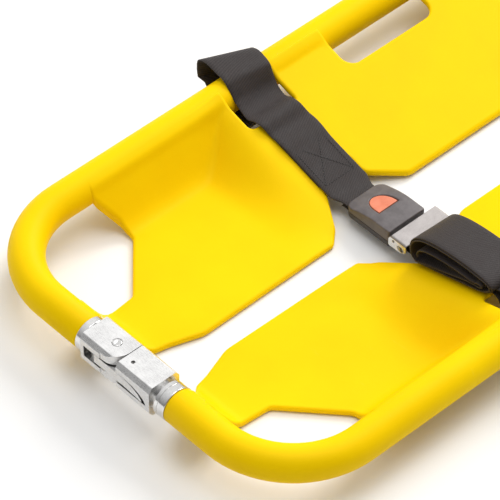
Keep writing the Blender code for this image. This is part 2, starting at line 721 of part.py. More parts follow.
def tongue_plate():
    """Tongue and strap adjuster, stamped and folded from one piece of steel."""
    low, high = TONGUE_LOW, TONGUE_LOW + TONGUE_T
    blade = [(0.0088, -0.016), (0.0275, -0.016), (0.0275, ADJUST_Y - ADJUST_W), (0.0345, ADJUST_Y - ADJUST_W)]
    blade += [(0.0345, ADJUST_Y + ADJUST_W), (0.0275, ADJUST_Y + ADJUST_W), (0.0275, 0.016), (0.0088, 0.016)]
    made = prism(rounded(blade, [0.003, 0.001, 0, 0, 0, 0, 0.001, 0.003], 2), low, high)
    cut(made, box((0.0130, -0.009, 0.0), (0.0195, 0.009, 0.05)))
    low_corner = (ADJUST_X0, ADJUST_Y - ADJUST_W, ADJUST_TOP - 0.0018)
    plate = box(low_corner, (ADJUST_X1, ADJUST_Y + ADJUST_W, ADJUST_TOP))
    join(made, plate)
    corners = [(0.0262, 0.0165), (0.0262, 0.0248), (ADJUST_X0, ADJUST_TOP), (ADJUST_X1, ADJUST_TOP)]
    corners += [(ADJUST_X1, 0.0205), (0.0425, 0.0168)]
    side = rounded(corners, [0.002, 0.002, 0, 0, 0.002, 0.004], 2)
    for sign in (-1, 1):
        outer = ADJUST_Y + sign * ADJUST_W
        inner = outer - sign * 0.0018
        join(made, side_prism(side, min(inner, outer), max(inner, outer)))
    slot = arc((BAR_X + 0.0003, BAR_Z), BAR_R + 0.0006, 90, 270, 6)
    slot += arc((BAR_X + 0.0033, BAR_Z), BAR_R + 0.0003, -90, 90, 6)
    cut(made, side_prism(slot, -0.06, 0.06))
    return cut(made, cylinder(0.0012, -0.06, 0.06, (0.0325, 0, 0.0255), 10, "Y"))


def adjuster_bar():
    half = ADJUST_W + 0.0006
    profile = [(0, -half), (BAR_R - 0.0005, -half), (BAR_R, -half + 0.0005), (BAR_R, half - 0.0005)]
    profile += [(BAR_R - 0.0005, half), (0, half)]
    return turned(profile, (BAR_X, ADJUST_Y, BAR_Z), 12, "Y")


def ribbon(path, half_widths, centre_y):
    """Webbing along (x, z) points; its half width can change from point to point."""
    bm = bmesh.new()
    loops = []
    for k, (x, z) in enumerate(path):
        before = Vector(path[max(k - 1, 0)])
        after = Vector(path[min(k + 1, len(path) - 1)])
        along = (after - before).normalized()
        normal = Vector((-along.y, along.x)) * STRAP_T / 2
        half = half_widths[k]
        corners = []
        for lift, y in ((1, -half), (1, half), (-1, half), (-1, -half)):
            corners.append(bm.verts.new((x + lift * normal.x, centre_y + y, z + lift * normal.y)))
        loops.append(corners)
    for one, two in zip(loops, loops[1:]):
        for n in range(4):
            m = (n + 1) % 4
            bm.faces.new((one[n], one[m], two[m], two[n]))
    bm.faces.new(loops[0])
    bm.faces.new(loops[-1])
    bmesh.ops.recalc_face_normals(bm, faces=bm.faces)
    return make_object("ribbon", bm)


def smooth_path(points, per_span=2):
    """Catmull-Rom curve through the points."""
    padded = [points[0]] + points + [points[-1]]
    path = []
    for k in range(1, len(padded) - 2):
        p0, p1, p2, p3 = [Vector(p) for p in padded[k - 1:k + 3]]
        for n in range(per_span):
            t = n / per_span
            a = 2 * p1 + (p2 - p0) * t + (2 * p0 - 5 * p1 + 4 * p2 - p3) * t * t
            path.append(tuple((a + (3 * p1 - p0 - 3 * p2 + p3) * t ** 3) / 2))
    return path + [points[-1]]


def on_dish(x, lift):
    """Point above the dished sheet, as (distance from the middle, height)."""
    return (x, DISH_Z + (x - DISH_X) * DISH_SLOPE + lift * 1.044)


def rim_loop(low_lift, high_lift):
    """Route of the webbing through the slot, round the rim tube and back, outwards from the middle."""
    under = [on_dish(0.142, low_lift), (0.160, 0.0465), (0.1705, 0.0360), (0.184, 0.0240), (0.2000, 0.0205)]
    around = [(0.2180, 0.0240), (0.2330, 0.0370), (0.2370, 0.0520), (0.2290, 0.0640), (0.2080, 0.0660)]
    over = [(0.1860, 0.0620), (0.1660, 0.0520 + high_lift), on_dish(0.142, high_lift)]
    return under + around + over


def left_rim_loop(low):
    """Route round the left rim tube: tight under it, a sharp turn outside, then a dip over the slot."""
    under = [on_dish(0.142, low), on_dish(0.1535, 0.0018), (0.1600, 0.0442), (0.1645, 0.0350)]
    under += [(0.1710, 0.0268), (0.184, 0.0215), (0.2000, 0.0205)]
    around = [(0.2180, 0.0225), (0.2310, 0.0330), (0.2350, 0.0480), (0.2345, 0.0605), (0.2280, 0.0645)]
    over = [(0.2100, 0.0650), (0.2000, 0.0635), (0.1925, 0.0592), (0.1850, 0.0510), (0.1760, 0.0450)]
    over += [(0.1670, 0.0442), (0.1570, 0.0484), on_dish(0.146, 0.0056), on_dish(0.134, 0.0032)]
    return under + around + over


def left_strap():
    """Sewn loop round the left rim tube and round the buckle's frame bar."""
    low, high = 0.0012, 0.0030
    route = [on_dish(0.070, low), on_dish(0.100, low)] + left_rim_loop(low)
    route += [on_dish(0.118, 0.0036), on_dish(0.100, high), on_dish(0.072, high), (0.056, 0.0182)]
    route += [(0.0470, 0.0170), (0.0400, 0.0164), (0.0330, 0.0165), (0.0260, 0.0161), (0.0245, 0.0144)]
    route += [(0.0262, 0.0126), (0.0330, 0.0125), (0.0430, 0.0127)]
    path = [(-x, z) for x, z in smooth_path(route)]
    halves = []
    for x, z in path:
        halves.append(0.0188 + (STRAP_W / 2 - 0.0188) * smoothstep(0.038, 0.052, -x))
    return ribbon(path, halves, 0)


def roll_outline():
    """Flattened roll of spare webbing lying on the dish, (x, z)."""
    low = [on_dish(0.064, 0.004), on_dish(0.090, 0.0026), on_dish(0.120, 0.0026), on_dish(0.148, 0.0030)]
    high = [(0.1610, 0.0568), (0.1530, 0.0636), (0.1240, 0.0658), (0.0930, 0.0636), (0.0720, 0.0585)]
    high += [(0.0605, 0.0508), (0.0553, 0.0410), (0.0562, 0.0285)]
    outline = low + high
    return smooth_path(outline + [outline[0]], 2)[:-1]


def right_strap():
    """Webbing from the adjuster bar, its spare length rolled up, to the loop round the right rim tube."""
    inner = [(0.070, 0.0232), (0.058, 0.0196), (0.0500, 0.0178)]
    turn = arc((BAR_X, BAR_Z), BAR_R + 0.0012, 270, 90, 6)
    outer = [(0.0500, 0.0262), (0.0590, 0.0285)]
    around_bar = inner + [(0.0450, 0.0178)] + turn + [(0.0450, 0.0252)] + outer
    half = STRAP_W / 2
    made = ribbon(around_bar, [half] * len(around_bar), ADJUST_Y)
    join(made, side_prism(roll_outline(), ADJUST_Y - half + ROLL_SHIFT, ADJUST_Y + half + ROLL_SHIFT))
    loop = smooth_path([on_dish(0.125, 0.0040)] + rim_loop(0.0012, 0.0040) + [(0.120, 0.0450)])
    return join(made, ribbon(loop, [half - 0.0002] * len(loop), ADJUST_Y))


def belt(name, centre_y, looks):
    place = Matrix.Translation((0, centre_y, 0))
    plastic, steel, webbing = looks["plastic"], looks["steel"], looks["webbing"]
    finish(left_strap(), name + "_left_strap", webbing, place=place)
    finish(top_cover(), name + "_buckle_top_cover", plastic, place=place)
    finish(bottom_cover(), name + "_buckle_bottom_cover", plastic, place=place)
    finish(button(), name + "_release_button", looks["red"], origin=(-0.01, 0, 0.027), place=place)
    finish(buckle_frame(), name + "_buckle_frame", steel, place=place)
    pivot = (LATCH_PIVOT_X, 0, LATCH_LOW + LATCH_T / 2)
    finish(latch_plate(), name + "_buckle_latch", steel, origin=pivot, place=place)
    spring_low, spring_high = FRAME_LOW + FRAME_T + 0.0003, cover_top(-0.018) - 0.0030
    spring = coil(0.0022, 0.00035, spring_low, spring_high, 4, (-0.0105, 0, 0))
    finish(spring, name + "_button_spring", steel, place=place)
    finish(tongue_plate(), name + "_tongue_plate", steel, place=place)
    finish(adjuster_bar(), name + "_adjuster_bar", steel, origin=(BAR_X, ADJUST_Y, BAR_Z), place=place)
    finish(right_strap(), name + "_right_strap", webbing, place=place)


def build():
    for item in list(bpy.data.objects):
        discard(item)
    looks = {
        "yellow": material("yellow_plastic", YELLOW, 0.42, 0.0),
        "webbing": material("black_webbing", BLACK, 0.85, 0.0),
        "plastic": material("grey_plastic", GREY_PLASTIC, 0.45, 0.0),
        "red": material("red_plastic", RED, 0.40, 0.0),
        "casting": material("cast_aluminium", CASTING, 0.35, 1.0),
        "polished": material("polished_collar", POLISHED, 0.12, 1.0),
        "steel": material("satin_steel", STEEL, 0.38, 1.0),
    }
    moulded_half("left_half", -1, looks["yellow"])
    moulded_half("right_half", 1, looks["yellow"])
    foot = Matrix.Translation((0, -END_Y, TUBE_Z))
    head = Matrix.Translation((0, END_Y, TUBE_Z)) @ Matrix.Rotation(math.pi, 4, "Z")
    coupling("foot", foot, looks)
    coupling("head", head, looks)
    belt("foot_belt", -STRAP_Y, looks)
    belt("middle_belt", 0.0, looks)
    belt("head_belt", STRAP_Y, looks)


build()
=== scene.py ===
import math
import random

import bmesh
import bpy
import numpy as np
from mathutils import Matrix, Vector
from mathutils.geometry import delaunay_2d_cdt


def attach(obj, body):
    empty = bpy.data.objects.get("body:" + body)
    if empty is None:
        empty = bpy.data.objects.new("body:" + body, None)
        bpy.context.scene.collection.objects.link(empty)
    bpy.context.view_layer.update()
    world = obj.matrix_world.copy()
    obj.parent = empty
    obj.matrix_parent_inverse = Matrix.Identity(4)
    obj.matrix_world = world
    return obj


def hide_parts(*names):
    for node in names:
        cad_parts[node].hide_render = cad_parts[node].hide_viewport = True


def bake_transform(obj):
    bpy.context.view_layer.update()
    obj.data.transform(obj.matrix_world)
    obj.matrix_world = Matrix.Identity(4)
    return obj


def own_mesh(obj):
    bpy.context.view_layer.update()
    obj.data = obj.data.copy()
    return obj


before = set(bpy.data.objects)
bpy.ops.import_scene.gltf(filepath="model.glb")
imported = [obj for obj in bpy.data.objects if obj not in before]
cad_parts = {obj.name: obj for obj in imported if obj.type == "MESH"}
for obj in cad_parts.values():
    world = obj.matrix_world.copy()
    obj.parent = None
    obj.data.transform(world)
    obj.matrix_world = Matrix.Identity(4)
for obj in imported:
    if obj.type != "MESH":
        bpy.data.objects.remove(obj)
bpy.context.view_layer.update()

# ---- sizes shared with the CAD, metres ----
LENGTH = 1.840
TUBE_X = 0.2054
TUBE_R = 0.018
TUBE_Z = 0.043
BORE_R = 0.0148
CORNER_R = 0.090
TUBE_END_X = 0.0605
SHEET_T = 0.007
END_Y = LENGTH / 2 - TUBE_R
RAMP_SLOPE = 1.515
RAMP_FOOT = 0.0450
RAMP_TOP_Z = 0.053
DISH_SLOPE = 0.2993
DISH_LEAN = 1.044
DISH_X = 0.035
DISH_Z = 0.0085
BLEND = 0.012
FILLET = 0.0070
EDGE_R = 0.0030
STRAP_Y = END_Y - 0.3225
MOULDED_SHARP = 50               # degrees past which an edge stays sharp
HARD_SHARP = 40
WEBBING_SHARP = 60
STRAP_W = 0.048
STRAP_T = 0.0014
FOOT_SLOT = 0.3230
HEAD_SLOT = 0.3188
SLOT_HALF = 0.0305
SLOT_CORNER = 0.0065

HALF_TURN = Matrix.Rotation(math.pi, 4, "Z")
ALIGN_X = Matrix.Rotation(math.pi / 2, 4, "Y")
ALIGN_Y = Matrix.Rotation(-math.pi / 2, 4, "X")


# ---- plan and path helpers ----
def arc(centre, radius, start, stop, steps):
    """Points on an arc, angles in degrees."""
    points = []
    for n in range(steps + 1):
        angle = math.radians(start + (stop - start) * n / steps)
        points.append((centre[0] + radius * math.cos(angle), centre[1] + radius * math.sin(angle)))
    return points


def rounded(corners, radii, steps=6):
    """Closed outline with each corner replaced by an arc; a radius of 0 keeps it sharp."""
    points = []
    count = len(corners)
    for k in range(count):
        here = Vector(corners[k])
        to_last = Vector(corners[k - 1]) - here
        to_next = Vector(corners[(k + 1) % count]) - here
        radius = radii[k] if isinstance(radii, (list, tuple)) else radii
        if radius < 1e-6:
            points.append(tuple(here))
            continue
        half = to_last.angle(to_next) / 2
        reach = min(radius / math.tan(half), 0.49 * to_last.length, 0.49 * to_next.length)
        radius = reach * math.tan(half)
        centre = here + (to_last.normalized() + to_next.normalized()).normalized() * radius / math.sin(half)
        start = here + to_last.normalized() * reach - centre
        sweep = start.angle_signed(here + to_next.normalized() * reach - centre)
        for n in range(steps + 1):
            points.append(tuple(centre + Matrix.Rotation(-sweep * n / steps, 2) @ start))
    return points


def refine(loop, longest):
    """Closed loop with its long sides divided."""
    points = []
    for k, here in enumerate(loop):
        ahead = loop[(k + 1) % len(loop)]
        steps = max(1, math.ceil(math.dist(here, ahead) / longest))
        for n in range(steps):
            t = n / steps
            points.append((here[0] + (ahead[0] - here[0]) * t, here[1] + (ahead[1] - here[1]) * t))
    return points


def smooth_path(points, per_span):
    """Catmull-Rom curve through points of any dimension."""
    padded = [np.array(p, float) for p in [points[0]] + list(points) + [points[-1]]]
    path = []
    for k in range(1, len(padded) - 2):
        p0, p1, p2, p3 = padded[k - 1:k + 3]
        for n in range(per_span):
            t = n / per_span
            a = 2 * p1 + (p2 - p0) * t + (2 * p0 - 5 * p1 + 4 * p2 - p3) * t * t
            path.append((a + (3 * p1 - p0 - 3 * p2 + p3) * t ** 3) / 2)
    return path + [padded[-1]]


def inset(loop, distance):
    """Closed loop moved to its left by a distance."""
    here = np.array(loop)
    ahead = np.roll(here, -1, axis=0) - here
    ahead /= np.linalg.norm(ahead, axis=1)[:, None]
    left_ahead = np.stack([-ahead[:, 1], ahead[:, 0]], axis=1)
    left_back = np.roll(left_ahead, 1, axis=0)
    middle = left_ahead + left_back
    middle /= np.linalg.norm(middle, axis=1)[:, None]
    stretch = np.clip((middle * left_ahead).sum(axis=1), 0.5, 1.0)
    return here + middle * (distance / stretch)[:, None]


def inside(points, loops):
    """Which points lie inside the loops, by crossings."""
    count = np.zeros(len(points), int)
    for loop in loops:
        a = np.array(loop)
        b = np.roll(a, -1, axis=0)
        for (ax, ay), (bx, by) in zip(a, b):
            if ay == by:
                continue
            spans = (points[:, 1] >= min(ay, by)) & (points[:, 1] < max(ay, by))
            cross = ax + (points[:, 1] - ay) * (bx - ax) / (by - ay)
            count += (spans & (cross > points[:, 0])).astype(int)
    return count % 2 == 1


def clearance(points, loops):
    """Distance from each point to the nearest loop side."""
    best = np.full(len(points), 1e9)
    for loop in loops:
        a = np.array(loop)
        b = np.roll(a, -1, axis=0)
        for start, stop in zip(a, b):
            along = stop - start
            t = np.clip(((points - start) @ along) / max(along @ along, 1e-18), 0, 1)
            gap = np.linalg.norm(points - start - t[:, None] * along, axis=1)
            best = np.minimum(best, gap)
    return best


# ---- mesh helpers ----
def placed(name, data):
    made = bpy.data.objects.new(name, data)
    bpy.context.collection.objects.link(made)
    return made


def make_object(name, bm):
    mesh = bpy.data.meshes.new(name)
    bm.to_mesh(mesh)
    bm.free()
    return placed(name, mesh)


def make_solid(name, bm):
    bmesh.ops.recalc_face_normals(bm, faces=bm.faces)
    return make_object(name, bm)


def bridge(bm, loops):
    """Faces between each closed loop of corners and the next."""
    for one, two in zip(loops, loops[1:]):
        for n in range(len(one)):
            m = (n + 1) % len(one)
            bm.faces.new((one[n], one[m], two[m], two[n]))


def skin(bm, loops):
    """Faces along a row of closed loops and over its two ends."""
    bridge(bm, loops)
    bm.faces.new(loops[0])
    bm.faces.new(loops[-1])


def angles_round(count, shift=0.0):
    return [2 * math.pi * (n + shift) / count for n in range(count)]


def oblong(low_x, high_x, half):
    return [(low_x, -half), (high_x, -half), (high_x, half), (low_x, half)]


def discard(item):
    bpy.data.objects.remove(item, do_unlink=True)


def moulding(loops, top, bottom, top_r, bottom_r, grid, margin=0.0016):
    """Closed solid over plan loops (material on their left) with rounded rims.

    top and bottom give the heights of its faces; grid is the interior's (xs, ys).
    """
    bm = bmesh.new()
    angles = [math.radians(a) for a in (0, 24, 46, 68, 90)]
    coords, sides, upper, lower, inner_loops = [], [], [], [], []
    for loop in loops:
        rims = []
        for face, radius, sign in ((top, top_r, -1), (bottom, bottom_r, 1)):
            rims.append([])
            for angle in angles:
                ring = inset(loop, max(radius * (1 - math.cos(angle)), 0))
                drop = sign * radius * (1 - math.sin(angle))
                rims[-1].append([bm.verts.new((x, y, face(x, y) + drop)) for x, y in ring])
        reach = max(top_r, bottom_r)
        inner = inset(loop, reach + 0.0002)
        rims[0].append([bm.verts.new((x, y, top(x, y))) for x, y in inner])
        rims[1].append([bm.verts.new((x, y, bottom(x, y))) for x, y in inner])
        stack = list(reversed(rims[0])) + rims[1]
        count = len(loop)
        for one, two in zip(stack, stack[1:]):
            for k in range(count):
                j = (k + 1) % count
                bm.faces.new((one[k], two[k], two[j], one[j]))
        base = len(coords)
        coords += [Vector(p) for p in inner]
        sides += [(base + k, base + (k + 1) % count) for k in range(count)]
        upper += rims[0][-1]
        lower += rims[1][-1]
        inner_loops.append(inner)
    xs, ys = grid
    points = np.array([(x, y) for y in ys for x in xs])
    if len(points):
        points = points[inside(points, inner_loops)]
        points = points[clearance(points, inner_loops) > margin]
        for x, y in points:
            coords.append(Vector((x, y)))
            upper.append(bm.verts.new((x, y, top(x, y))))
            lower.append(bm.verts.new((x, y, bottom(x, y))))
    out, _, faces, sources, _, _ = delaunay_2d_cdt(coords, sides, [], 0, 1e-8)
    centres = np.array([np.mean([out[i] for i in face], axis=0) for face in faces])
    keep = inside(centres, inner_loops)
    for face, kept in zip(faces, keep):
        if kept:
            ids = [sources[i][0] for i in face]
            bm.faces.new([upper[i] for i in ids])
            bm.faces.new([lower[i] for i in reversed(ids)])
    return make_solid("moulding", bm)


def prism(outline, low, high, axis="Z"):
    """Solid over a closed outline; axis Z takes (x, y), Y takes (x, z) and X takes (y, z)."""
    order = {"Z": (0, 1, 2), "Y": (0, 2, 1), "X": (2, 0, 1)}[axis]
    bm = bmesh.new()
    ends = []
    for level in (low, high):
        corners = [(u, v, level) for u, v in outline]
        ends.append([bm.verts.new([corner[k] for k in order]) for corner in corners])
        bm.faces.new(ends[-1])
    bridge(bm, ends)
    return make_solid("solid", bm)


def box(low, high):
    outline = [(low[0], low[1]), (high[0], low[1]), (high[0], high[1]), (low[0], high[1])]
    return prism(outline, low[2], high[2])


def turned(profile, centre, sides, axis="Z", closed=False):
    """Solid turned from (radius, height) points; an open profile starts and ends on the axis."""
    bm = bmesh.new()
    rings = []
    for radius, height in profile:
        if radius < 1e-9:
            rings.append([bm.verts.new((0, 0, height))])
            continue
        angles = angles_round(sides, 0.5)
        rings.append([bm.verts.new((radius * math.cos(a), radius * math.sin(a), height)) for a in angles])
    pairs = list(zip(rings, rings[1:]))
    if closed:
        pairs.append((rings[-1], rings[0]))
    for lower, upper in pairs:
        for k in range(sides):
            j = (k + 1) % sides
            corners = [lower[k % len(lower)], lower[j % len(lower)]]
            corners += [upper[j % len(upper)], upper[k % len(upper)]]
            unique = list(dict.fromkeys(corners))
            if len(unique) > 2:
                bm.faces.new(unique)
    bmesh.ops.recalc_face_normals(bm, faces=bm.faces)
    turn = {"X": ALIGN_X, "Y": ALIGN_Y, "Z": Matrix.Identity(4)}[axis]
    bmesh.ops.transform(bm, matrix=Matrix.Translation(centre) @ turn, verts=bm.verts)
    return make_object("solid", bm)


def cylinder(radius, low, high, centre, sides, axis="Z"):
    return turned([(0, low), (radius, low), (radius, high), (0, high)], centre, sides, axis)


def applied(target):
    """The object with its modifiers applied."""
    graph = bpy.context.evaluated_depsgraph_get()
    mesh = bpy.data.meshes.new_from_object(target.evaluated_get(graph))
    target.modifiers.clear()
    target.data = mesh
    return target


def combine(target, tool, operation):
    step = target.modifiers.new("cut", "BOOLEAN")
    step.operation = operation
    step.solver = "EXACT"
    step.object = tool
    applied(target)
    discard(tool)
    return target


def cut(target, *tools):
    for tool in tools:
        combine(target, tool, "DIFFERENCE")
    return target


def join(target, *tools):
    for tool in tools:
        combine(target, tool, "UNION")
    return target


def soften(target, width):
    """Rounds a solid's sharp edges."""
    bm = bmesh.new()
    bm.from_mesh(target.data)
    bmesh.ops.remove_doubles(bm, verts=bm.verts, dist=0.00002)
    bmesh.ops.dissolve_limit(bm, angle_limit=0.01, verts=bm.verts, edges=bm.edges)
    bm.to_mesh(target.data)
    bm.free()
    step = target.modifiers.new("bevel", "BEVEL")
    step.width = width
    step.segments = 2
    step.limit_method = "ANGLE"
    step.angle_limit = math.radians(28)
    step.miter_outer = "MITER_ARC"
    step.use_clamp_overlap = True
    return applied(target)


def merge(name, *parts):
    """One object holding the meshes of several."""
    bm = bmesh.new()
    for part in parts:
        bm.from_mesh(part.data)
        discard(part)
    return make_object(name, bm)


def copy_turned(source, name, place):
    mesh = source.data.copy()
    mesh.transform(place)
    return placed(name, mesh)


def weigh_normals(target):
    """Keeps large flat faces flat where a small rounding meets them."""
    step = target.modifiers.new("normals", "WEIGHTED_NORMAL")
    step.weight = 90
    step.keep_sharp = True
    return applied(target)


def finish(target, name, body, slot, nodes, place, smooth, look=None, weighted=False):
    """Names a piece, places it, gives it its look, ties it to its body and hides the CAD parts it stands in
    for.

    Edges sharper than smooth, in degrees, stay sharp; look is the slot's own unless it is named.
    """
    target.name = name
    target.data.name = name
    if place:
        target.data.transform(place)
    target.data.materials.clear()
    target.data.materials.append(LOOKS[look or slot])
    target.data.shade_smooth()
    target.data.set_sharp_from_angle(angle=math.radians(smooth))
    if weighted:
        weigh_normals(target)
    if body:
        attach(target, body)
    if nodes:
        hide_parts(*nodes)
    return target


# ---- materials ----
class Nodes:
    """Short way to write a node tree."""

    def __init__(self, name):
        self.material = bpy.data.materials.new(name)
        self.material.use_nodes = True
        self.tree = self.material.node_tree
        self.shader = self.tree.nodes["Principled BSDF"]

    def add(self, kind, **settings):
        node = self.tree.nodes.new("ShaderNode" + kind)
        for key, value in settings.items():
            setattr(node, key, value)
        return node

    def link(self, source, target):
        self.tree.links.new(source, target)

    def coords(self, scale=(1, 1, 1)):
        source = self.add("TexCoord").outputs["Object"]
        mapping = self.add("Mapping")
        mapping.inputs["Scale"].default_value = scale
        self.link(source, mapping.inputs["Vector"])
        return mapping.outputs["Vector"]

    def noise(self, vector, scale, detail=3.0, rough=0.55):
        node = self.add("TexNoise")
        node.inputs["Scale"].default_value = scale
        node.inputs["Detail"].default_value = detail
        node.inputs["Roughness"].default_value = rough
        self.link(vector, node.inputs["Vector"])
        return node.outputs["Fac"]

    def math(self, operation, a, b=None):
        node = self.add("Math", operation=operation)
        for socket, value in zip(node.inputs, (a, b)):
            if value is None:
                continue
            if isinstance(value, (int, float)):
                socket.default_value = value
            else:
                self.link(value, socket)
        return node.outputs[0]

    def span(self, value, *limits):
        """Maps a value from the first two limits to the last two."""
        node = self.add("MapRange")
        for key, number in zip(("From Min", "From Max", "To Min", "To Max"), limits):
            node.inputs[key].default_value = number
        self.link(value, node.inputs["Value"])
        return node.outputs["Result"]

    def mix(self, factor, one, two):
        node = self.add("Mix", data_type="RGBA")
        self.link(factor, node.inputs["Factor"])
        for socket, value in ((node.inputs[6], one), (node.inputs[7], two)):
            if isinstance(value, tuple):
                socket.default_value = (*value, 1.0)
            else:
                self.link(value, socket)
        return node.outputs[2]

    def bump(self, height, distance, strength=1.0, normal=None):
        node = self.add("Bump")
        node.inputs["Distance"].default_value = distance
        node.inputs["Strength"].default_value = strength
        self.link(height, node.inputs["Height"])
        if normal:
            self.link(normal, node.inputs["Normal"])
        return node.outputs["Normal"]

    def base(self, roughness=0.5, metallic=0.0, **more):
        self.shader.inputs["Roughness"].default_value = roughness
        self.shader.inputs["Metallic"].default_value = metallic
        for key, value in more.items():
            self.shader.inputs[key.replace("_", " ").title().replace("Ior", "IOR")].default_value = value

    def out(self, name, source):
        self.link(source, self.shader.inputs[name])


def yellow_plastic():
    """Rotomoulded polyethylene: fine orange peel, faint clouding and a few handling scuffs."""
    n = Nodes("yellow_moulded_plastic")
    n.base(metallic=0.0, specular_ior_level=0.05)
    where = n.coords()
    cloud = n.noise(where, 9.0, 4.0)
    colour = n.mix(n.span(cloud, 0.35, 0.65, 0, 1), (0.92, 0.590, 0.0002), (0.96, 0.640, 0.0004))
    flecks = n.noise(where, 420.0, 2.0)
    colour = n.mix(n.span(flecks, 0.60, 0.78, 0, 0.35), colour, (0.97, 0.68, 0.004))
    scuffs = n.noise(n.coords((30, 170, 60)), 1.0, 5.0, 0.7)
    scuff = n.span(scuffs, 0.66, 0.74, 0, 1)
    colour = n.mix(n.math("MULTIPLY", scuff, 0.08), colour, (0.96, 0.78, 0.20))
    n.out("Base Color", colour)
    rough = n.math("ADD", n.span(cloud, 0.3, 0.7, 0.40, 0.50), n.math("MULTIPLY", scuff, 0.10))
    n.out("Roughness", rough)
    peel = n.bump(n.noise(where, 260.0, 2.0), 0.00012, 0.55)
    n.out("Normal", n.bump(n.noise(where, 1500.0, 2.0), 0.00003, 0.6, peel))
    return n.material


def webbing():
    """Polyester webbing: fine twill with lengthwise ribs, painted shade darkening the weave's grooves, and
    paler in random worn patches.
    """
    n = Nodes("black_webbing")
    n.base(roughness=0.62, sheen_weight=0.12, sheen_roughness=0.4, specular_ior_level=0.34)
    uv = n.add("TexCoord").outputs["UV"]
    split = n.add("SeparateXYZ")
    n.link(uv, split.inputs[0])
    across, along = split.outputs[0], split.outputs[1]
    pitch = 0.00115
    turn = 2 * math.pi
    warp = n.math("SINE", n.math("MULTIPLY", across, turn / pitch))
    step = n.math("MULTIPLY", n.math("FLOOR", n.math("MULTIPLY", across, 1 / pitch)), 0.25)
    rows = n.math("ADD", n.math("MULTIPLY", along, 1 / (2.2 * pitch)), step)
    weft = n.math("SINE", n.math("MULTIPLY", rows, turn))
    height = n.math("ADD", n.math("MULTIPLY", n.math("ABSOLUTE", warp), 0.55), n.math("MULTIPLY", weft, 0.45))
    fibres = n.noise(n.coords(), 2600.0, 2.0)
    shade = n.span(height, -0.4, 1.0, 0, 1)
    wear = n.noise(n.coords(), 60.0, 4.0)
    dark = n.mix(n.span(wear, 0.3, 0.7, 0, 1), (0.0095, 0.0068, 0.0065), (0.015, 0.0112, 0.0108))
    light = n.mix(n.span(wear, 0.3, 0.7, 0, 1), (0.040, 0.0295, 0.0280), (0.062, 0.0475, 0.0450))
    # Painted shade: the weave's grooves are painted darker and its raised threads lighter, following the
    # weave's height.
    weave_painted_shade = n.math("MULTIPLY", shade, n.span(fibres, 0.3, 0.7, 0.6, 1.0))
    n.out("Base Color", n.mix(weave_painted_shade, dark, light))
    n.out("Roughness", n.span(wear, 0.3, 0.7, 0.52, 0.70))
    weave = n.bump(height, 0.00016, 0.9)
    n.out("Normal", n.bump(fibres, 0.00004, 0.5, weave))
    return n.material


def thread():
    n = Nodes("stitching_thread")
    n.base(roughness=0.55, sheen_weight=0.2)
    twist = n.noise(n.coords(), 2200.0, 2.0)
    tone = n.span(twist, 0.3, 0.7, 0, 1)
    n.out("Base Color", n.mix(tone, (0.003, 0.0025, 0.0025), (0.010, 0.0085, 0.0085)))
    n.out("Normal", n.bump(twist, 0.00008, 0.8))
    return n.material


def moulded_plastic(name, dark, light, rough):
    """Injection-moulded plastic with a fine spark-eroded grain and slight rub marks."""
    n = Nodes(name)
    n.base(specular_ior_level=0.5)
    where = n.coords()
    rub = n.noise(where, 110.0, 5.0, 0.65)
    n.out("Base Color", n.mix(n.span(rub, 0.35, 0.7, 0, 1), dark, light))
    n.out("Roughness", n.span(rub, 0.3, 0.7, rough - 0.05, rough + 0.08))
    n.out("Normal", n.bump(n.noise(where, 2400.0, 3.0), 0.00006, 0.7))
    return n.material


def metal(name, dark, light, rough, brush, depth, tarnish):
    """Worked metal; brush stretches the fine lines along an axis."""
    n = Nodes(name)
    n.base(metallic=1.0)
    lines = n.noise(n.coords(brush), 1.0, 4.0, 0.7)
    cloud = n.noise(n.coords(), 70.0, 4.0, 0.6)
    tone = n.math("ADD", n.math("MULTIPLY", lines, 0.6), n.math("MULTIPLY", cloud, 0.4))
    colour = n.mix(n.span(tone, 0.35, 0.65, 0, 1), dark, light)
    if tarnish:
        spots = n.span(n.noise(n.coords(), 420.0, 3.0), 0.62, 0.74, 0, tarnish)
        colour = n.mix(spots, colour, tuple(0.45 * c for c in dark))
    n.out("Base Color", colour)
    n.out("Roughness", n.span(tone, 0.35, 0.65, rough - 0.05, rough + 0.08))
    n.out("Normal", n.bump(lines, depth, 0.6))
    return n.material


LOOKS = {"yellow_plastic": yellow_plastic(), "black_webbing": webbing(), "thread": thread()}
PLASTICS = {
    "grey_plastic": ("dark_grey_plastic", (0.085, 0.073, 0.074), (0.135, 0.118, 0.120), 0.40),
    "dark_plastic": ("black_plastic", (0.022, 0.019, 0.020), (0.042, 0.037, 0.038), 0.45),
    "red_plastic": ("salmon_red_plastic", (0.68, 0.185, 0.095), (0.76, 0.235, 0.135), 0.42),
}
ACROSS = (2200, 200, 2200)
METALS = {
    "cast_aluminium": ((0.70, 0.695, 0.69), (0.83, 0.825, 0.815), 0.27, (250, 2400, 2400), 0.00002, 0.2),
    "polished_collar": ((0.62, 0.61, 0.60), (0.86, 0.855, 0.845), 0.12, (3000, 300, 300), 0.00001, 0.0),
    # darker steel, used only on the adjuster's upward-facing faces
    "dark_steel": ((0.27, 0.25, 0.245), (0.40, 0.375, 0.365), 0.42, ACROSS, 0.00002, 0.30),
    "bright_steel": ((0.70, 0.69, 0.67), (0.88, 0.87, 0.85), 0.24, (200, 2200, 2200), 0.00001, 0.15),
    "satin_steel": ((0.30, 0.29, 0.28), (0.52, 0.51, 0.49), 0.34, ACROSS, 0.00002, 0.35),
}
METAL_NAMES = {"cast_aluminium": "machined_aluminium", "dark_steel": "dark_steel_upper_faces"}
for key, settings in PLASTICS.items():
    LOOKS[key] = moulded_plastic(*settings)
for key, settings in METALS.items():
    LOOKS[key] = metal(METAL_NAMES.get(key, key), *settings)


# ---- moulded halves ----
def smoothstep(low, high, value):
    t = min(max((value - low) / (high - low), 0.0), 1.0)
    return t * t * (3 - 2 * t)


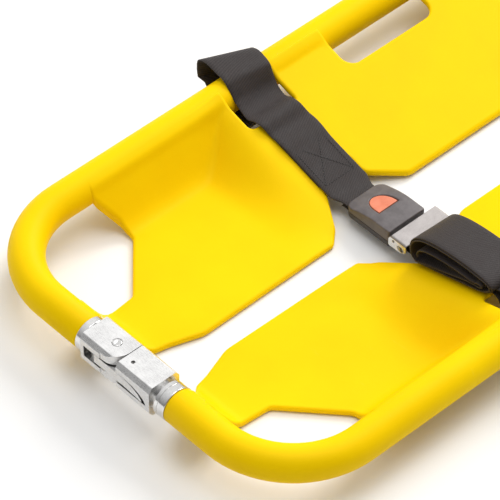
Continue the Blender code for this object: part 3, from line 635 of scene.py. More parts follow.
def rim_distance(x, y):
    """Distance inward from the rim centreline, for a point of the right half."""
    corner_x = TUBE_X - CORNER_R
    corner_y = END_Y - CORNER_R
    if x > corner_x and abs(y) > corner_y:
        return CORNER_R - math.hypot(x - corner_x, abs(y) - corner_y)
    return min(TUBE_X - x, END_Y - abs(y))


def tube_top(distance):
    """Height of the rim tube's upper side, falling steeply past its widest point."""
    limit = 0.96 * TUBE_R
    past_limit_slope = 3.4
    d = min(max(distance, 0.0), limit)
    height = TUBE_Z + math.sqrt(TUBE_R ** 2 - d * d)
    return height - max(distance - limit, 0.0) * past_limit_slope


def dish_share(y):
    """1 along the dished middle, falling to 0 on the flat ends."""
    return 1 - smoothstep(END_Y - 0.290, END_Y - 0.228, abs(y))


def smooth_max(one, two, reach):
    near = max(reach - abs(one - two), 0.0) / reach
    return max(one, two) + near * near * reach / 4


def bare_sheet(x, y):
    """Upper face before it runs out into the rim tube."""
    share = dish_share(y)
    blade = SHEET_T + share * (DISH_Z - SHEET_T + max(x - DISH_X, -0.01) * DISH_SLOPE)
    ramp = min(SHEET_T + (RAMP_FOOT - rim_distance(x, y)) * RAMP_SLOPE, RAMP_TOP_Z)
    return smooth_max(blade, ramp, BLEND * (1 - share) + 0.003)


def sheet_top(x, y):
    return smooth_max(bare_sheet(x, y), tube_top(rim_distance(x, y)), FILLET + 0.008 * dish_share(y))


def sheet_bottom(x, y):
    step = 0.001
    slope_x = (bare_sheet(x + step, y) - bare_sheet(x - step, y)) / (2 * step)
    slope_y = (bare_sheet(x, y + step) - bare_sheet(x, y - step)) / (2 * step)
    return max(bare_sheet(x, y) - SHEET_T * math.sqrt(1 + slope_x ** 2 + slope_y ** 2), 0.0)


def inner_edge():
    """Right half's inner edge from the coupling to mid length, (x, distance from the end), and radii."""
    points = [(0.0625, 0.0170), (0.029, 0.050), (0.0255, 0.066), (0.0140, 0.100), (0.0155, 0.2665)]
    points += [(0.030, 0.2825), (0.066, 0.3038), (0.082, 0.3038), (0.082, 0.3475), (0.060, 0.3475)]
    points += [(0.0345, 0.3850), (0.0345, END_Y - 0.060), (0.062, END_Y - 0.027), (0.082, END_Y - 0.027)]
    radii = [0.006, 0.012, 0.02, 0.03, 0.008, 0.02, 0.005, 0.005, 0.005, 0.012, 0.016, 0.016, 0.012, 0.005]
    return points, radii


def openings_edge(slot_centre):
    """Outer side of the sheet from the coupling to the middle, in and out round each opening."""
    deep = TUBE_X - 0.0045
    shallow = 0.1538
    points = [(0.090, 0.0045), (0.0925, 0.060), (0.0945, 0.082), (0.1520, 0.1335), (0.168, 0.1325)]
    points += [(0.186, 0.115), (deep, 0.1150)]
    radii = [0.0, 0.02, 0.008, 0.012, 0.012, 0.010, 0.0]
    holes = [(slot_centre, SLOT_HALF, SLOT_CORNER), (0.477, 0.058, 0.013), (0.699, 0.058, 0.013)]
    for centre, half, corner in holes:
        low, high = centre - half, centre + half
        points += [(deep, low), (shallow, low), (shallow, high), (deep, high)]
        radii += [0.0, corner, corner, 0.0]
    points += [(deep, END_Y - SLOT_HALF), (shallow, END_Y - SLOT_HALF)]
    radii += [0.0, SLOT_CORNER]
    return points, radii


def half_outline():
    """Plan outline of the right half's sheet, anticlockwise."""
    inner, inner_r = inner_edge()
    low, outer_r = openings_edge(FOOT_SLOT)
    high, _ = openings_edge(HEAD_SLOT)
    low_r = [0.0] + outer_r
    corners = [(0.0625, 0.0045 - END_Y)] + [(x, d - END_Y) for x, d in low]
    corners += [(x, END_Y - d) for x, d in reversed(high)] + [(0.0625, END_Y - 0.0045)]
    corners += [(x, END_Y - d) for x, d in inner]
    corners += [(x, d - END_Y) for x, d in reversed(inner)]
    radii = low_r + low_r[::-1] + inner_r + inner_r[::-1]
    return refine(rounded(corners, radii, 7), 0.006)


def sheet_grid():
    """Stations across and along the sheet, close together where its height turns."""
    across = [0.012 + 0.0065 * k for k in range(21)]
    across = [x for x in across if x < 0.150] + [0.1515 + 0.0021 * k for k in range(9)]
    across += [0.1735, 0.1775, 0.1810, 0.1835, 0.1855, 0.1870, 0.1885, 0.1900, 0.1915, 0.1930, 0.1945, 0.1962]
    ends = [0.009, 0.0105, 0.012, 0.0135, 0.015, 0.0165, 0.018, 0.0195, 0.0225, 0.0265, 0.0305, 0.0345]
    ends += [0.0375 + 0.0021 * k for k in range(9)] + [0.060 + 0.0065 * k for k in range(27)]
    ends += [0.2345 + 0.0034 * k for k in range(15)]
    ends = [d for d in ends if d < 0.2860] + [0.2860 + 0.0076 * k for k in range(81)]
    low = [d - END_Y for d in ends]
    return across, low + [-y for y in reversed(low)]


def rim_tube(x_end, radius, bore, steps, sides):
    """Hollow rim tube of the right half with softened ends."""
    lip = 0.0007
    path = [(x_end, -END_Y), (x_end + 0.001, -END_Y)]
    path += arc((TUBE_X - CORNER_R, CORNER_R - END_Y), CORNER_R, -90, 0, steps)
    path += [(TUBE_X, -END_Y + 0.10 + 0.02 * k) for k in range(1, 81)]
    path += arc((TUBE_X - CORNER_R, END_Y - CORNER_R), CORNER_R, 0, 90, steps)
    path += [(x_end + 0.001, END_Y), (x_end, END_Y)]
    bm = bmesh.new()

    def tube_loops(r, lipped):
        loops = []
        for k, (x, y) in enumerate(path):
            before = Vector(path[max(k - 1, 0)])
            after = Vector(path[min(k + 1, len(path) - 1)])
            along = (after - before).normalized()
            inward = Vector((-along.y, along.x))
            here = r - lip * lipped if k in (0, len(path) - 1) else r
            loop = []
            for angle in angles_round(sides, 0.5):
                side = inward * math.cos(angle) * here
                loop.append(bm.verts.new((x + side.x, y + side.y, TUBE_Z + here * math.sin(angle))))
            loops.append(loop)
        return loops

    outer = tube_loops(radius, 1)
    inner = tube_loops(bore, -0.4)
    for loops in (outer, inner, [outer[0], inner[0]], [outer[-1], inner[-1]]):
        bridge(bm, loops)
    return make_solid("rim", bm)


def halves():
    sheet = moulding([half_outline()], sheet_top, sheet_bottom, EDGE_R, EDGE_R, sheet_grid())
    right = merge("right_moulding", sheet, rim_tube(TUBE_END_X, TUBE_R, BORE_R, 18, 48))
    left = copy_turned(right, "left_moulding", HALF_TURN)
    for piece, side in ((right, "right"), (left, "left")):
        finish(piece, side + "_moulding", side, "yellow_plastic", [side + "_half"], None, MOULDED_SHARP)


# ---- end couplings, drawn about the middle of the -Y end tube ----
GAP = 0.0003
PIN_X = -0.0215
PIN_R = 0.0055
PIN_HEAD_R = 0.0047
ROLL_X = 0.0065
ROLL_Y = -0.0055
ROLL = (ROLL_X, ROLL_Y, 0)
CAST_W = 0.0185
CAST_H = 0.018
CAST_FLAT = 0.0145
FORK_END = -0.052
BODY_END = 0.042
NOSE_R = 0.0175
SLOT_H = 0.0065
LEVER_H = 0.0060
LEVER_ROOM = LEVER_H + 0.0005
LEVER_SHOWN_H = 0.0050
COLLAR_R = 0.0184
NECK_R = 0.0150
SPIGOT_R = 0.0145
SPIGOT_END = 0.095
RIVET_X = 0.080
RIVET_R = 0.0022


def casting_section():
    low = 0.0125
    side = [(CAST_FLAT, -CAST_H), (CAST_W, -low), (CAST_W, low), (CAST_FLAT, CAST_H)]
    outline = side + [(-y, z) for y, z in reversed(side)]
    return rounded(outline, 0.0012, 3)


def spigot(start, neck_end):
    face = TUBE_END_X - GAP
    profile = [(0, start), (0.0130, start), (0.0130, neck_end), (NECK_R, neck_end), (NECK_R, face)]
    profile += [(SPIGOT_R, face), (SPIGOT_R, SPIGOT_END - 0.001), (SPIGOT_R - 0.001, SPIGOT_END)]
    return turned(profile + [(0, SPIGOT_END)], (0, 0, 0), 48, "X")


def mirror_x(target):
    bm = bmesh.new()
    bm.from_mesh(target.data)
    bmesh.ops.scale(bm, vec=(-1, 1, 1), verts=bm.verts)
    bmesh.ops.reverse_faces(bm, faces=bm.faces)
    bm.to_mesh(target.data)
    bm.free()
    return target


def fork_body():
    outline = [(FORK_END, -0.03), (PIN_X - 0.004, -0.03), (PIN_X - 0.004, -NOSE_R)]
    outline += arc((PIN_X, 0), NOSE_R, -90, 0, 20) + [(PIN_X + NOSE_R, 0.03), (FORK_END, 0.03)]
    made = prism(outline, -0.03, 0.03)
    combine(made, prism(casting_section(), -0.07, 0.03, "X"), "INTERSECT")
    slot = [(-0.0395, 0.03), (-0.0395, -0.004), (-0.0475, -0.009), (-0.0475, -0.03)]
    slot += [(0.02, -0.03), (0.02, 0.03)]
    cut(made, prism(slot, -SLOT_H, SLOT_H), cylinder(PIN_HEAD_R + 0.0004, -0.03, 0.03, (PIN_X, 0, 0), 48))
    soften(made, 0.0005)
    return join(made, mirror_x(spigot(-FORK_END - 0.001, -FORK_END - 0.0005)))


def quarter(steps):
    return [math.pi / 2 * n / steps for n in range(1, steps + 1)]


def pad_outline(reach, high):
    points = [(-0.06, -high), (-0.06, high), (0.004, high)]
    return points + [(0.004 + reach * math.sin(a), -high + 2 * high * math.cos(a)) for a in quarter(16)]


def tongue_outline():
    points = [(0.004, 0.0135), (PIN_X, 0.0135)] + arc((PIN_X, 0.0040), 0.0095, 90, 168, 12)
    slot = PIN_R + 0.0004
    points += [(PIN_X - 0.0095, slot)] + arc((PIN_X, 0), slot, 90, -90, 20)
    return points + [(PIN_X - 0.0050, -slot), (PIN_X - 0.0050, -0.0085), (0.004, -0.0085)]


def latch_body():
    made = prism(casting_section(), PIN_X + NOSE_R + 0.0008, BODY_END, "X")
    cut(made, prism(pad_outline(0.0325, LEVER_H + 0.0007), -0.03, -0.0045, "Y"))
    boss_r = 0.0056
    boss_room = arc((ROLL_X, ROLL_Y), boss_r, -30, 210, 24)
    boss_room += [(ROLL_X - boss_r, -0.03), (ROLL_X + boss_r, -0.03)]
    cut(made, prism(boss_room, -LEVER_ROOM, LEVER_ROOM))
    cut(made, box((-0.05, -0.03, -LEVER_ROOM), (ROLL_X, -0.0085, LEVER_ROOM)))
    cut(made, cylinder(0.0020, -0.03, 0.03, ROLL, 32))
    soften(made, 0.0005)
    join(made, prism(tongue_outline(), -LEVER_H, LEVER_H))
    cut(made, prism(boss_room, -LEVER_ROOM, LEVER_ROOM))
    return join(made, spigot(BODY_END - 0.001, BODY_END + 0.0045))


def latch_lever():
    outline = [(-0.0280, -0.0059), (-0.0335, -0.0059), (-0.0365, -0.0090), (-0.0365, -0.0150)]
    outline += [(-0.0340, -0.0178), (0.0080, -0.0178), (0.0300, -0.0190), (0.0352, -0.0178)]
    outline += [(0.0352, -0.0145), (0.0130, -0.0118)]
    outline += arc((ROLL_X, ROLL_Y), 0.0050, -45, 205, 24)
    outline += [(0.0022, -0.0098), (-0.0250, -0.0098), (-0.0280, -0.0078)]
    made = prism(outline, -LEVER_SHOWN_H, LEVER_SHOWN_H)
    combine(made, prism(pad_outline(0.0276, LEVER_SHOWN_H), -0.05, 0.05, "Y"), "INTERSECT")
    cut(made, cylinder(0.0020, -0.03, 0.03, ROLL, 32), cylinder(0.0041, 0.0010, 0.03, ROLL, 32))
    for k in range(4):
        groove = (0.0140 + 0.0042 * k, -0.0192 + 0.0004 * (k == 0), 0)
        cut(made, cylinder(0.0008, -0.02, 0.02, groove, 16))
    return soften(made, 0.0004)


def coil(radius, wire, low, high, turns, centre):
    """Closed helical spring."""
    bm = bmesh.new()
    sides, per_turn = 10, 28
    steps = int(turns * per_turn)
    loops = []
    for k in range(steps + 1):
        angle = 2 * math.pi * k / per_turn
        outward = Vector((math.cos(angle), math.sin(angle), 0))
        level = low + wire + (high - low - 2 * wire) * k / steps
        middle = Vector(centre) + outward * radius + Vector((0, 0, level))
        loops.append([])
        for t in angles_round(sides):
            rim = middle + outward * math.cos(t) * wire + Vector((0, 0, math.sin(t) * wire))
            loops[-1].append(bm.verts.new(rim))
    skin(bm, loops)
    return make_solid("coil", bm)


def edge_rounded(radius, low, high, edge):
    """Half profile of a disc with rounded rims, from axis to axis."""
    rim = [(radius - edge + edge * math.sin(a), low + edge - edge * math.cos(a)) for a in [0] + quarter(4)]
    top = [(r, high - (z - low)) for r, z in reversed(rim)]
    return rim + top


def collar(inner, outer, low, high, grooves):
    """Polished ring; grooves are (height, depth) pairs turned into its outside."""
    edge = 0.0009
    rim = edge_rounded(outer, low, high, edge)
    profile = [(inner, low + 0.0004), (inner + 0.0004, low)] + rim[:5]
    for height, depth in grooves:
        profile += [(outer, height - 0.0006), (outer - depth, height - 0.0003)]
        profile += [(outer - depth, height + 0.0003), (outer, height + 0.0006)]
    profile += rim[5:] + [(inner + 0.0004, high), (inner, high - 0.0004)]
    return turned(profile, (0, 0, 0), 64, "X", closed=True)


def pivot_pin():
    profile = [(0, -0.0182)] + edge_rounded(PIN_HEAD_R, -0.0182, 0.0182, 0.0006)
    profile += [(0.0026, 0.0182), (0.0020, 0.0177), (0, 0.0175)]
    return turned(profile, (PIN_X, 0, 0), 48)


def rivet(x):
    head = -TUBE_R - GAP
    dome = [(0.0045 * math.sin(a), head - 0.0014 * math.cos(a)) for a in quarter(6)]
    shank = [(0.0045, head), (RIVET_R, head), (RIVET_R, -0.0075), (0, -0.0075)]
    return turned([(0, head - 0.0014)] + dome + shank, (x, 0, 0), 28)


def roll_pin():
    upper = [(0.0009, 0.0165), (0.0015, 0.0165), (0.0017, 0.0162)]
    return turned([(r, -z) for r, z in upper] + upper[::-1], ROLL, 32, closed=True)


def couplings():
    foot = Matrix.Translation((0, -END_Y, TUBE_Z))
    head = Matrix.Translation((0, END_Y, TUBE_Z)) @ HALF_TURN
    bore, face = NECK_R + GAP, TUBE_END_X - GAP
    groove = (0.0515, 0.0007)
    made = {
        "fork_body": (fork_body(), "cast_aluminium", 0),
        "fork_collar": (collar(bore, COLLAR_R, -face, FORK_END - GAP, []), "polished_collar", 0),
        "pivot_pin": (pivot_pin(), "polished_collar", 0),
        "fork_rivet": (rivet(-RIVET_X), "satin_steel", 0),
        "latch_body": (latch_body(), "cast_aluminium", 1),
        "latch_collar": (collar(bore, COLLAR_R, BODY_END + 0.0048, face, [groove]), "polished_collar", 1),
        "latch_rivet": (rivet(RIVET_X), "satin_steel", 1),
        "roll_pin": (roll_pin(), "satin_steel", 1),
        "latch_spring": (coil(0.0031, 0.0004, 0.0014, 0.0058, 4, ROLL), "satin_steel", 1),
        "latch_lever": (latch_lever(), "cast_aluminium", 2),
    }
    for key, (piece, slot, role) in made.items():
        twin = copy_turned(piece, "twin", head)
        for end, target, place in (("foot", piece, foot), ("head", twin, None)):
            bodies = ("left", "right") if end == "foot" else ("right", "left")
            body = end + "_lever" if role == 2 else bodies[role]
            name = f"{end}_{key}"
            finish(target, name + "_detail", body, slot, [name], place, HARD_SHARP, weighted=True)


# ---- belts, drawn about the belt's centre line ----
BUCKLE_REAR = -0.035
BUCKLE_MOUTH = 0.0255
BUCKLE_W = 0.0238
BUCKLE_LOW = 0.010
BUCKLE_SPLIT = 0.0176
WALL = 0.0015
COVER_ROOM = BUCKLE_W - 0.0026
TONGUE_LOW = 0.0215
TONGUE_T = 0.002
LATCH_PIVOT_X = -0.016
LATCH_LOW = 0.0185
LATCH_T = 0.0015
BUTTON_X = 0.000
ADJUST_Y = 0.0045
ADJUST_W = 0.030
ADJUST_X0 = 0.0300
ADJUST_X1 = 0.0493
ADJUST_TOP = 0.0300
BAR_X = 0.0405
BAR_Z = 0.0215
BAR_R = 0.0024
ROLL_SHIFT = -0.006


def steps(low, high, count):
    return [low + (high - low) * k / count for k in range(count + 1)]


def cover_plan():
    corners = oblong(BUCKLE_REAR, BUCKLE_MOUTH, BUCKLE_W)
    return refine(rounded(corners, [0.009, 0.0024, 0.0024, 0.009], 10), 0.003)


def cover_top(x, y):
    """Crowned top of the buckle: it falls towards the strap and a little to its sides."""
    share = smoothstep(BUCKLE_REAR - 0.023, 0.006, x)
    side = max(abs(y) - 0.014, 0.0) / 0.0098
    return 0.0185 + 0.0125 * share - 0.0010 * side * side


def button_plan(grow):
    """D shape: straight edge towards the mouth, round towards the strap; anticlockwise."""
    half = 0.0122 + grow
    depth = 0.0220 + grow
    points = []
    for n in range(0, 33):
        angle = math.pi / 2 - math.pi * n / 32
        points.append((BUTTON_X + grow - depth * max(math.cos(angle), 0.0) ** 0.8, half * math.sin(angle)))
    return points


def top_cover():
    loops = [cover_plan(), button_plan(0.0008)[::-1]]
    grid = (steps(-0.032, 0.023, 20), steps(-0.021, 0.021, 18))
    made = moulding(loops, cover_top, lambda x, y: BUCKLE_SPLIT, 0.0013, 0.0004, grid)
    rear, mouth = BUCKLE_REAR + WALL, BUCKLE_MOUTH - WALL
    hollow = [(rear, 0.0), (rear, 0.0176)]
    hollow += [(x, cover_top(x, 0) - 0.0022) for x in steps(-0.030, mouth, 10)] + [(mouth, 0.0)]
    cut(made, prism(hollow, -COVER_ROOM, COVER_ROOM, "Y"))
    cut(made, box((-0.045, -0.0205, 0.0), (-0.030, 0.0205, 0.0178)))
    return cut(made, box((0.02, -0.0195, 0.0), (0.05, 0.0195, TONGUE_LOW + TONGUE_T + 0.0006)))


def bottom_cover():
    faces = (lambda x, y: BUCKLE_SPLIT - GAP, lambda x, y: BUCKLE_LOW)
    grid = (steps(-0.032, 0.023, 8), steps(-0.021, 0.021, 8))
    made = moulding([cover_plan()], *faces, 0.0004, 0.0020, grid)
    low = (BUCKLE_REAR + WALL, -COVER_ROOM, BUCKLE_LOW + WALL)
    cut(made, box(low, (BUCKLE_MOUTH - WALL, COVER_ROOM, 0.05)))
    return cut(made, box((-0.045, -0.0205, 0.0116), (-0.030, 0.0205, 0.05)))


def button():
    under = cover_top(-0.018, 0) - 0.0026

    def crown(x, y):
        dish = 0.0008 * math.exp(-((x + 0.009) ** 2 + y * y) / 0.00006)
        return cover_top(x, y) - 0.0004 - dish

    def underside(x, y):
        return min(under, crown(x, y) - 0.0022)

    grid = (steps(-0.020, 0.0, 16), steps(-0.0115, 0.0115, 18))
    made = moulding([button_plan(0.0)], crown, underside, 0.0009, 0.0002, grid, 0.0006)
    return join(made, box((-0.0045, -0.006, LATCH_LOW + LATCH_T + GAP), (-0.0015, 0.006, under + 0.0005)))


def buckle_frame():
    made = prism(rounded(oblong(-0.0312, 0.0222, 0.0215), 0.002), 0.0135, 0.0155)
    return soften(cut(made, box((-0.0275, -0.0198, 0.0), (-0.0185, 0.0198, 0.05))), 0.0003)


def latch_plate():
    made = prism(rounded(oblong(-0.0170, 0.0180, 0.008), 0.001), LATCH_LOW, LATCH_LOW + LATCH_T)
    join(made, box((0.0135, -0.007, LATCH_LOW + 0.0005), (0.0175, 0.007, TONGUE_LOW - GAP)))
    join(made, cylinder(0.0011, -0.0223, 0.0223, (LATCH_PIVOT_X, 0, LATCH_LOW + LATCH_T / 2), 24, "Y"))
    return soften(cut(made, cylinder(0.0034, 0.0, 0.05, (-0.0105, 0, 0), 32)), 0.0002)


def tongue_plate():
    """Tongue and strap adjuster, stamped and folded from one piece of steel."""
    left, right = ADJUST_Y - ADJUST_W, ADJUST_Y + ADJUST_W
    blade = [(0.0088, -0.016), (0.0275, -0.016), (0.0275, left + 0.001), (0.0345, left + 0.001)]
    blade += [(0.0345, right - 0.001), (0.0275, right - 0.001), (0.0275, 0.016), (0.0088, 0.016)]
    outline = rounded(blade, [0.003, 0.001, 0, 0, 0, 0, 0.001, 0.003])
    made = prism(outline, TONGUE_LOW, TONGUE_LOW + TONGUE_T)
    cut(made, box((0.0130, -0.009, 0.0), (0.0195, 0.009, 0.05)))
    foot, fold, top = 0.010, 0.0018, ADJUST_TOP
    channel = [(left, foot), (left, top), (right, top), (right, foot), (right - fold, foot)]
    channel += [(right - fold, top - fold), (left + fold, top - fold), (left + fold, foot)]
    shell = prism(rounded(channel, [0, 0.0026, 0.0026, 0, 0, 0.0012, 0.0012, 0], 6), 0.0262, ADJUST_X1, "X")
    side = [(0.0262, 0.0165), (0.0262, 0.0248), (ADJUST_X0, top + 0.001), (ADJUST_X1, top + 0.001)]
    side += [(ADJUST_X1, 0.0205), (0.0425, 0.0168)]
    side = rounded(side, [0.002, 0.002, 0, 0, 0.002, 0.004])
    combine(shell, prism(side, -0.06, 0.06, "Y"), "INTERSECT")
    join(made, shell)
    slot = arc((BAR_X + 0.0003, BAR_Z), BAR_R + 0.0006, 90, 270, 14)
    slot += arc((BAR_X + 0.0033, BAR_Z), BAR_R + 0.0003, -90, 90, 14)
    cut(made, prism(slot, -0.06, 0.06, "Y"), cylinder(0.0016, -0.06, 0.06, (0.0330, 0, 0.0252), 24, "Y"))
    return soften(made, 0.00035)


def darken_top(target):
    """Faces of the adjuster that point upwards take the darker steel; its flanks keep the bright steel."""
    target.data.materials[0] = LOOKS["bright_steel"]
    target.data.materials.append(LOOKS["dark_steel"])
    for face in target.data.polygons:
        # Faces are picked by their direction: those turned upwards get the darker steel.
        if face.normal.z > 0.35 and face.center.z > TONGUE_LOW + TONGUE_T + 0.0004:
            face.material_index = 1


def adjuster_bar():
    half = ADJUST_W + 0.0006
    profile = [(0, -half)] + edge_rounded(BAR_R, -half, half, 0.0005) + [(0, half)]
    return turned(profile, (BAR_X, ADJUST_Y, BAR_Z), 32, "Y")


def ribbon(points, centre_y):
    """Webbing along points (x, z, half width, skew, shift), flat with rounded selvedges.

    skew moves its -Y edge along +X and shift all of it along Y; UVs are metres across and along.
    """
    bm = bmesh.new()
    uv = bm.loops.layers.uv.new("UVMap")
    half_t = STRAP_T / 2
    profile = [(-1.0, 0.0), (-0.9965, 0.62), (-0.985, 1.0)]
    profile += [(u, 1.0) for u in (-0.8, -0.55, -0.28, 0.0, 0.28, 0.55, 0.8)]
    profile += [(0.985, 1.0), (0.9965, 0.62), (1.0, 0.0)]
    section = profile + [(u, -t) for u, t in reversed(profile[1:-1])]
    loops, lengths, travelled = [], [], 0.0
    for k, (x, z, half, skew, shift) in enumerate(points):
        before = Vector(points[max(k - 1, 0)][:2])
        after = Vector(points[min(k + 1, len(points) - 1)][:2])
        along = (after - before).normalized()
        normal = Vector((-along.y, along.x)) * half_t
        if k:
            travelled += math.dist(points[k][:2], points[k - 1][:2])
        lengths.append(travelled)
        loops.append([])
        for u, t in section:
            place = (x + t * normal.x - skew * u, centre_y + shift + u * half, z + t * normal.y)
            loops[-1].append(bm.verts.new(place))
    skin(bm, loops)
    count = len(section)
    bm.faces.ensure_lookup_table()
    for row in range(len(loops) - 1):
        for n in range(count):
            m = (n + 1) % count
            corners = ((row, n), (row, m), (row + 1, m), (row + 1, n))
            for corner, (station, column) in zip(bm.faces[row * count + n].loops, corners):
                corner[uv].uv = (section[column][0] * STRAP_W / 2, lengths[station])
    return make_solid("ribbon", bm)


def on_dish(x, lift):
    """Point (x, z) a distance above the dish, measured square to its slope."""
    return (x, DISH_Z + (x - DISH_X) * DISH_SLOPE + lift * DISH_LEAN)


def rim_loop(low_lift, high_lift):
    under = [on_dish(0.142, low_lift), (0.160, 0.0465), (0.1705, 0.0360), (0.184, 0.0240), (0.2000, 0.0205)]
    around = [(0.2180, 0.0240), (0.2330, 0.0370), (0.2370, 0.0520), (0.2290, 0.0640), (0.2080, 0.0660)]
    over = [(0.1860, 0.0620), (0.1660, 0.0520 + high_lift), on_dish(0.142, high_lift)]
    return under + around + over


def left_rim_loop(low):
    """Route round the left rim tube: tight under it, a sharp turn outside, then a dip over the slot."""
    under = [on_dish(0.142, low), on_dish(0.1535, 0.0018), (0.1600, 0.0442), (0.1645, 0.0350)]
    under += [(0.1710, 0.0268), (0.184, 0.0215), (0.2000, 0.0205)]
    around = [(0.2180, 0.0225), (0.2310, 0.0330), (0.2350, 0.0480), (0.2345, 0.0615), (0.2290, 0.0662)]
    over = [(0.2150, 0.0672), (0.2000, 0.0650), (0.1925, 0.0592), (0.1850, 0.0510), (0.1760, 0.0450)]
    over += [(0.1670, 0.0442), (0.1570, 0.0484), on_dish(0.146, 0.0056), on_dish(0.134, 0.0030)]
    return under + around + over


def left_strap(seed):
    """Sewn loop round the left rim tube and round the buckle's frame bar."""
    rng = random.Random(seed)
    low, high = 0.0012, 0.0030
    outermost = 0.234
    narrow = 0.0190
    route = [on_dish(0.070, low), on_dish(0.100, low)] + left_rim_loop(low)
    route += [on_dish(0.118, 0.0042), on_dish(0.104, high), on_dish(0.072, high), (0.056, 0.0182)]
    route += [(0.0470, 0.0170), (0.0400, 0.0164), (0.0330, 0.0165), (0.0260, 0.0161), (0.0245, 0.0144)]
    route += [(0.0262, 0.0126), (0.0330, 0.0125), (0.0430, 0.0127)]
    path = []
    upper = False
    for x, z in smooth_path(route, 7):
        upper = upper or x > outermost
        half = narrow + (STRAP_W / 2 - narrow) * smoothstep(0.040, 0.056, x)
        skew = -0.0112 * smoothstep(0.172, 0.226, x) * (1.0 if upper else smoothstep(0.030, 0.058, z))
        shift = 0.0045 * smoothstep(0.180, 0.226, x)
        if upper:
            half += 0.0010 * smoothstep(0.100, 0.130, x)
            shift -= 0.0035 * math.exp(-((x - 0.158) / 0.018) ** 2)
            z += 0.0004 * math.sin(x * 260) * smoothstep(0.108, 0.130, x)
        path.append((-x, z, half, skew + rng.uniform(-0.00012, 0.00012), shift))
    return ribbon(path, 0)


def stitches(x0, x1, half, lift):
    """Box of stitches with a cross through it, lying on the dish."""
    pitch, thread_r = 0.0030, 0.00042
    bm = bmesh.new()
    corners = oblong(x0, x1, half)
    runs = [(corners[k], corners[(k + 1) % 4]) for k in range(4)]
    runs += [(corners[0], corners[2]), (corners[1], corners[3])]
    for start, stop in runs:
        across = Vector((-(stop[1] - start[1]), stop[0] - start[0])).normalized()
        count = int(math.dist(start, stop) / pitch)
        for k in range(count):
            t0, t1 = (k + 0.12) / count, (k + 0.88) / count
            rings = []
            for s in steps(0.0, 1.0, 4):
                t = t0 + (t1 - t0) * s
                x = start[0] + (stop[0] - start[0]) * t
                y = start[1] + (stop[1] - start[1]) * t
                base = on_dish(x, lift)[1]
                radius = thread_r * math.sqrt(max(0.12, 1 - (2 * s - 1) ** 2))
                rings.append([])
                for angle in angles_round(6):
                    side = across * math.cos(angle) * radius
                    place = (-(x + side.x), y + side.y, base + radius * (0.35 + math.sin(angle)))
                    rings[-1].append(bm.verts.new(place))
            skin(bm, rings)
    return make_solid("stitches", bm)


def roll_path(turns):
    """Flattened roll of spare webbing, (x, z), from its outer turn inwards: tight outside, loose inside."""
    low = [on_dish(0.064, 0.0040), on_dish(0.090, 0.0034), on_dish(0.120, 0.0034), on_dish(0.148, 0.0038)]
    high = [(0.1610, 0.0570), (0.1530, 0.0642), (0.1240, 0.0664), (0.0930, 0.0640), (0.0720, 0.0588)]
    high += [(0.0605, 0.0510), (0.0556, 0.0410), (0.0565, 0.0290)]
    outline = low + high
    closed = [np.array(p) for p in smooth_path(outline + [outline[0]], 10)[:-1]]
    core_start, core_end = np.array([0.0765, 0.0405]), np.array([0.1400, 0.0530])
    core = core_end - core_start
    count = len(closed)
    path = []
    for k in range(int(turns * count)):
        here = closed[k % count]
        t = min(max((here - core_start) @ core / (core @ core), 0.0), 1.0)
        nearest = core_start + core * t
        turn = k / count
        depth = 0.0018 * turn + 0.0085 * smoothstep(1.95, 2.45, turn)
        reach = np.linalg.norm(here - nearest)
        path.append(nearest + (here - nearest) * max(reach - depth, 0.0016) / reach)
    return path


def bar_turn():
    """Webbing's turn round the adjuster bar, under it and back out above it."""
    half = STRAP_W / 2
    inner = [(0.074, 0.0238), (0.064, 0.0208), (0.0560, 0.0188), (0.0500, 0.0178), (0.0450, 0.0178)]
    turn = arc((BAR_X, BAR_Z), BAR_R + 0.0012, 265, 95, 6)
    outer = [(0.0450, 0.0252), (0.0500, 0.0262), (0.0570, 0.0285)]
    return ribbon([(x, z, half, 0.0, 0.0) for x, z in smooth_path(inner + turn + outer, 4)], ADJUST_Y)


def webbing_roll(seed):
    """Spare webbing rolled up beside the adjuster."""
    rng = random.Random(seed)
    spiral = []
    for k, (x, z) in enumerate(roll_path(2.97)):
        drift = 0.0010 * math.sin(k * 0.05 + seed) + rng.uniform(-0.0001, 0.0001)
        spiral.append((x, z, STRAP_W / 2, drift, ROLL_SHIFT - 0.00001 * k))
    return ribbon(spiral, ADJUST_Y)


def right_rim_strap():
    """Loop of webbing round the right rim tube, running in under the roll."""
    route = [on_dish(0.125, 0.0022)] + rim_loop(0.0012, 0.0040)
    half = STRAP_W / 2 - 0.0002
    path = [(x, z, half, -0.006 * smoothstep(0.165, 0.232, x), 0.0) for x, z in smooth_path(route, 7)]
    return ribbon(path, ADJUST_Y)


def button_spring():
    return coil(0.0022, 0.00035, 0.0158, cover_top(-0.018, 0) - 0.0030, 5, (-0.0105, 0, 0))


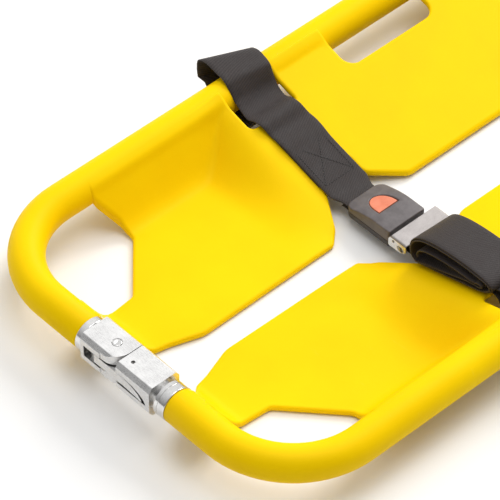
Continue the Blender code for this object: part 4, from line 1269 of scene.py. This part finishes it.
def belts():
    parts = {
        "buckle_top_cover": (top_cover(), "grey_plastic", None),
        "buckle_bottom_cover": (bottom_cover(), "grey_plastic", None),
        "buckle_frame": (buckle_frame(), "satin_steel", None),
        "button_spring": (button_spring(), "satin_steel", None),
        "release_button": (button(), "red_plastic", "_button"),
        "buckle_latch": (latch_plate(), "satin_steel", "_latch"),
        "tongue_plate": (tongue_plate(), "satin_steel", "_tongue"),
        "adjuster_bar": (adjuster_bar(), "satin_steel", "_bar"),
    }
    rows = (("foot_belt", -STRAP_Y), ("middle_belt", 0.0), ("head_belt", STRAP_Y))
    for number, (belt, centre_y) in enumerate(rows):
        place = Matrix.Translation((0, centre_y, 0))
        for key, (source, slot, own) in parts.items():
            piece = copy_turned(source, "piece", place)
            name = f"{belt}_{key}"
            look = "dark_plastic" if key == "buckle_bottom_cover" else None
            body = belt + own if own else "left"
            finish(piece, name + "_detail", body, slot, [name], None, HARD_SHARP, look, True)
            if key == "tongue_plate":
                darken_top(piece)
            if key == "button_spring":
                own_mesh(piece)

        def lay(piece, suffix, body, nodes, look=None):
            return finish(piece, belt + suffix, body, "black_webbing", nodes, place, WEBBING_SHARP, look)

        lay(left_strap(11 + number), "_left_webbing", "left", [belt + "_left_strap"])
        lay(stitches(0.066, 0.118, 0.0185, 0.0030 + STRAP_T / 2), "_stitching", "left", [], "thread")
        roll = lay(webbing_roll(31 + number), "_webbing_roll", "right", [belt + "_right_strap"])
        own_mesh(roll)
        lay(right_rim_strap(), "_right_webbing", "right", [])
        turn = lay(bar_turn(), "_bar_webbing", None, [])
        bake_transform(turn)
    for source, _, _ in parts.values():
        discard(source)


# ---- floor, light and camera ----
def floor_material():
    n = Nodes("studio_floor")
    n.base(roughness=0.85, specular_ior_level=0.2)
    n.out("Base Color", n.mix(n.noise(n.coords(), 0.6, 2.0), (0.87, 0.868, 0.865), (0.89, 0.888, 0.885)))
    return n.material


def studio():
    bm = bmesh.new()
    bmesh.ops.create_grid(bm, x_segments=8, y_segments=8, size=9)
    floor = make_object("studio_floor", bm)
    floor.location = (0, 0, -0.0006)
    floor.data.materials.append(floor_material())
    world = bpy.data.worlds.new("soft_studio")
    bpy.context.scene.world = world
    world.use_nodes = True
    tree = world.node_tree
    toward = tree.nodes.new("ShaderNodeTexCoord")
    lean = tree.nodes.new("ShaderNodeVectorMath")
    lean.operation = "DOT_PRODUCT"
    lean.inputs[1].default_value = (-0.45, 0.45, 0.77)
    fade = tree.nodes.new("ShaderNodeMapRange")
    for key, number in (("From Min", -0.3), ("From Max", 1.0), ("To Min", 0.14), ("To Max", 1.0)):
        fade.inputs[key].default_value = number
    tree.links.new(toward.outputs["Generated"], lean.inputs[0])
    tree.links.new(lean.outputs["Value"], fade.inputs["Value"])
    tree.links.new(fade.outputs["Result"], tree.nodes["Background"].inputs["Strength"])
    tree.nodes["Background"].inputs["Color"].default_value = (1.0, 1.0, 1.0, 1.0)
    lights = [
        ("key", (-0.9, 3.3, 3.3), 2.4, 150.0, (1.0, 0.99, 0.97)),
        ("top", (0.2, -0.3, 4.0), 2.4, 54.0, (1.0, 1.0, 1.0)),
    ]
    for name, place, size, power, colour in lights:
        data = bpy.data.lights.new(name, "AREA")
        data.size = size
        data.energy = power
        data.color = colour
        lamp = placed(name, data)
        lamp.location = place
        aim = Vector((0.0, -0.6, 0.0)) - Vector(place)
        lamp.rotation_euler = aim.to_track_quat("-Z", "Y").to_euler()
    bpy.context.scene.view_settings.view_transform = "Standard"


def camera():
    azimuth, elevation, distance = math.radians(47.2189), math.radians(46.0168), 3.8403
    level = math.cos(elevation)
    back = Vector((math.sin(azimuth) * level, -math.cos(azimuth) * level, math.sin(elevation)))
    right = Vector((math.cos(azimuth), math.sin(azimuth), 0.0))
    up = back.cross(right)
    data = bpy.data.cameras.new("camera")
    data.sensor_width = 36.0
    data.lens = 294.8
    made = placed("camera", data)
    turn = Matrix((right, up, back)).transposed().to_4x4()
    target = Vector((-0.0507, -0.7110, 0.0248))
    made.matrix_world = Matrix.Translation(target + back * distance) @ turn
    bpy.context.scene.camera = made


camera()
studio()
halves()
couplings()
belts()
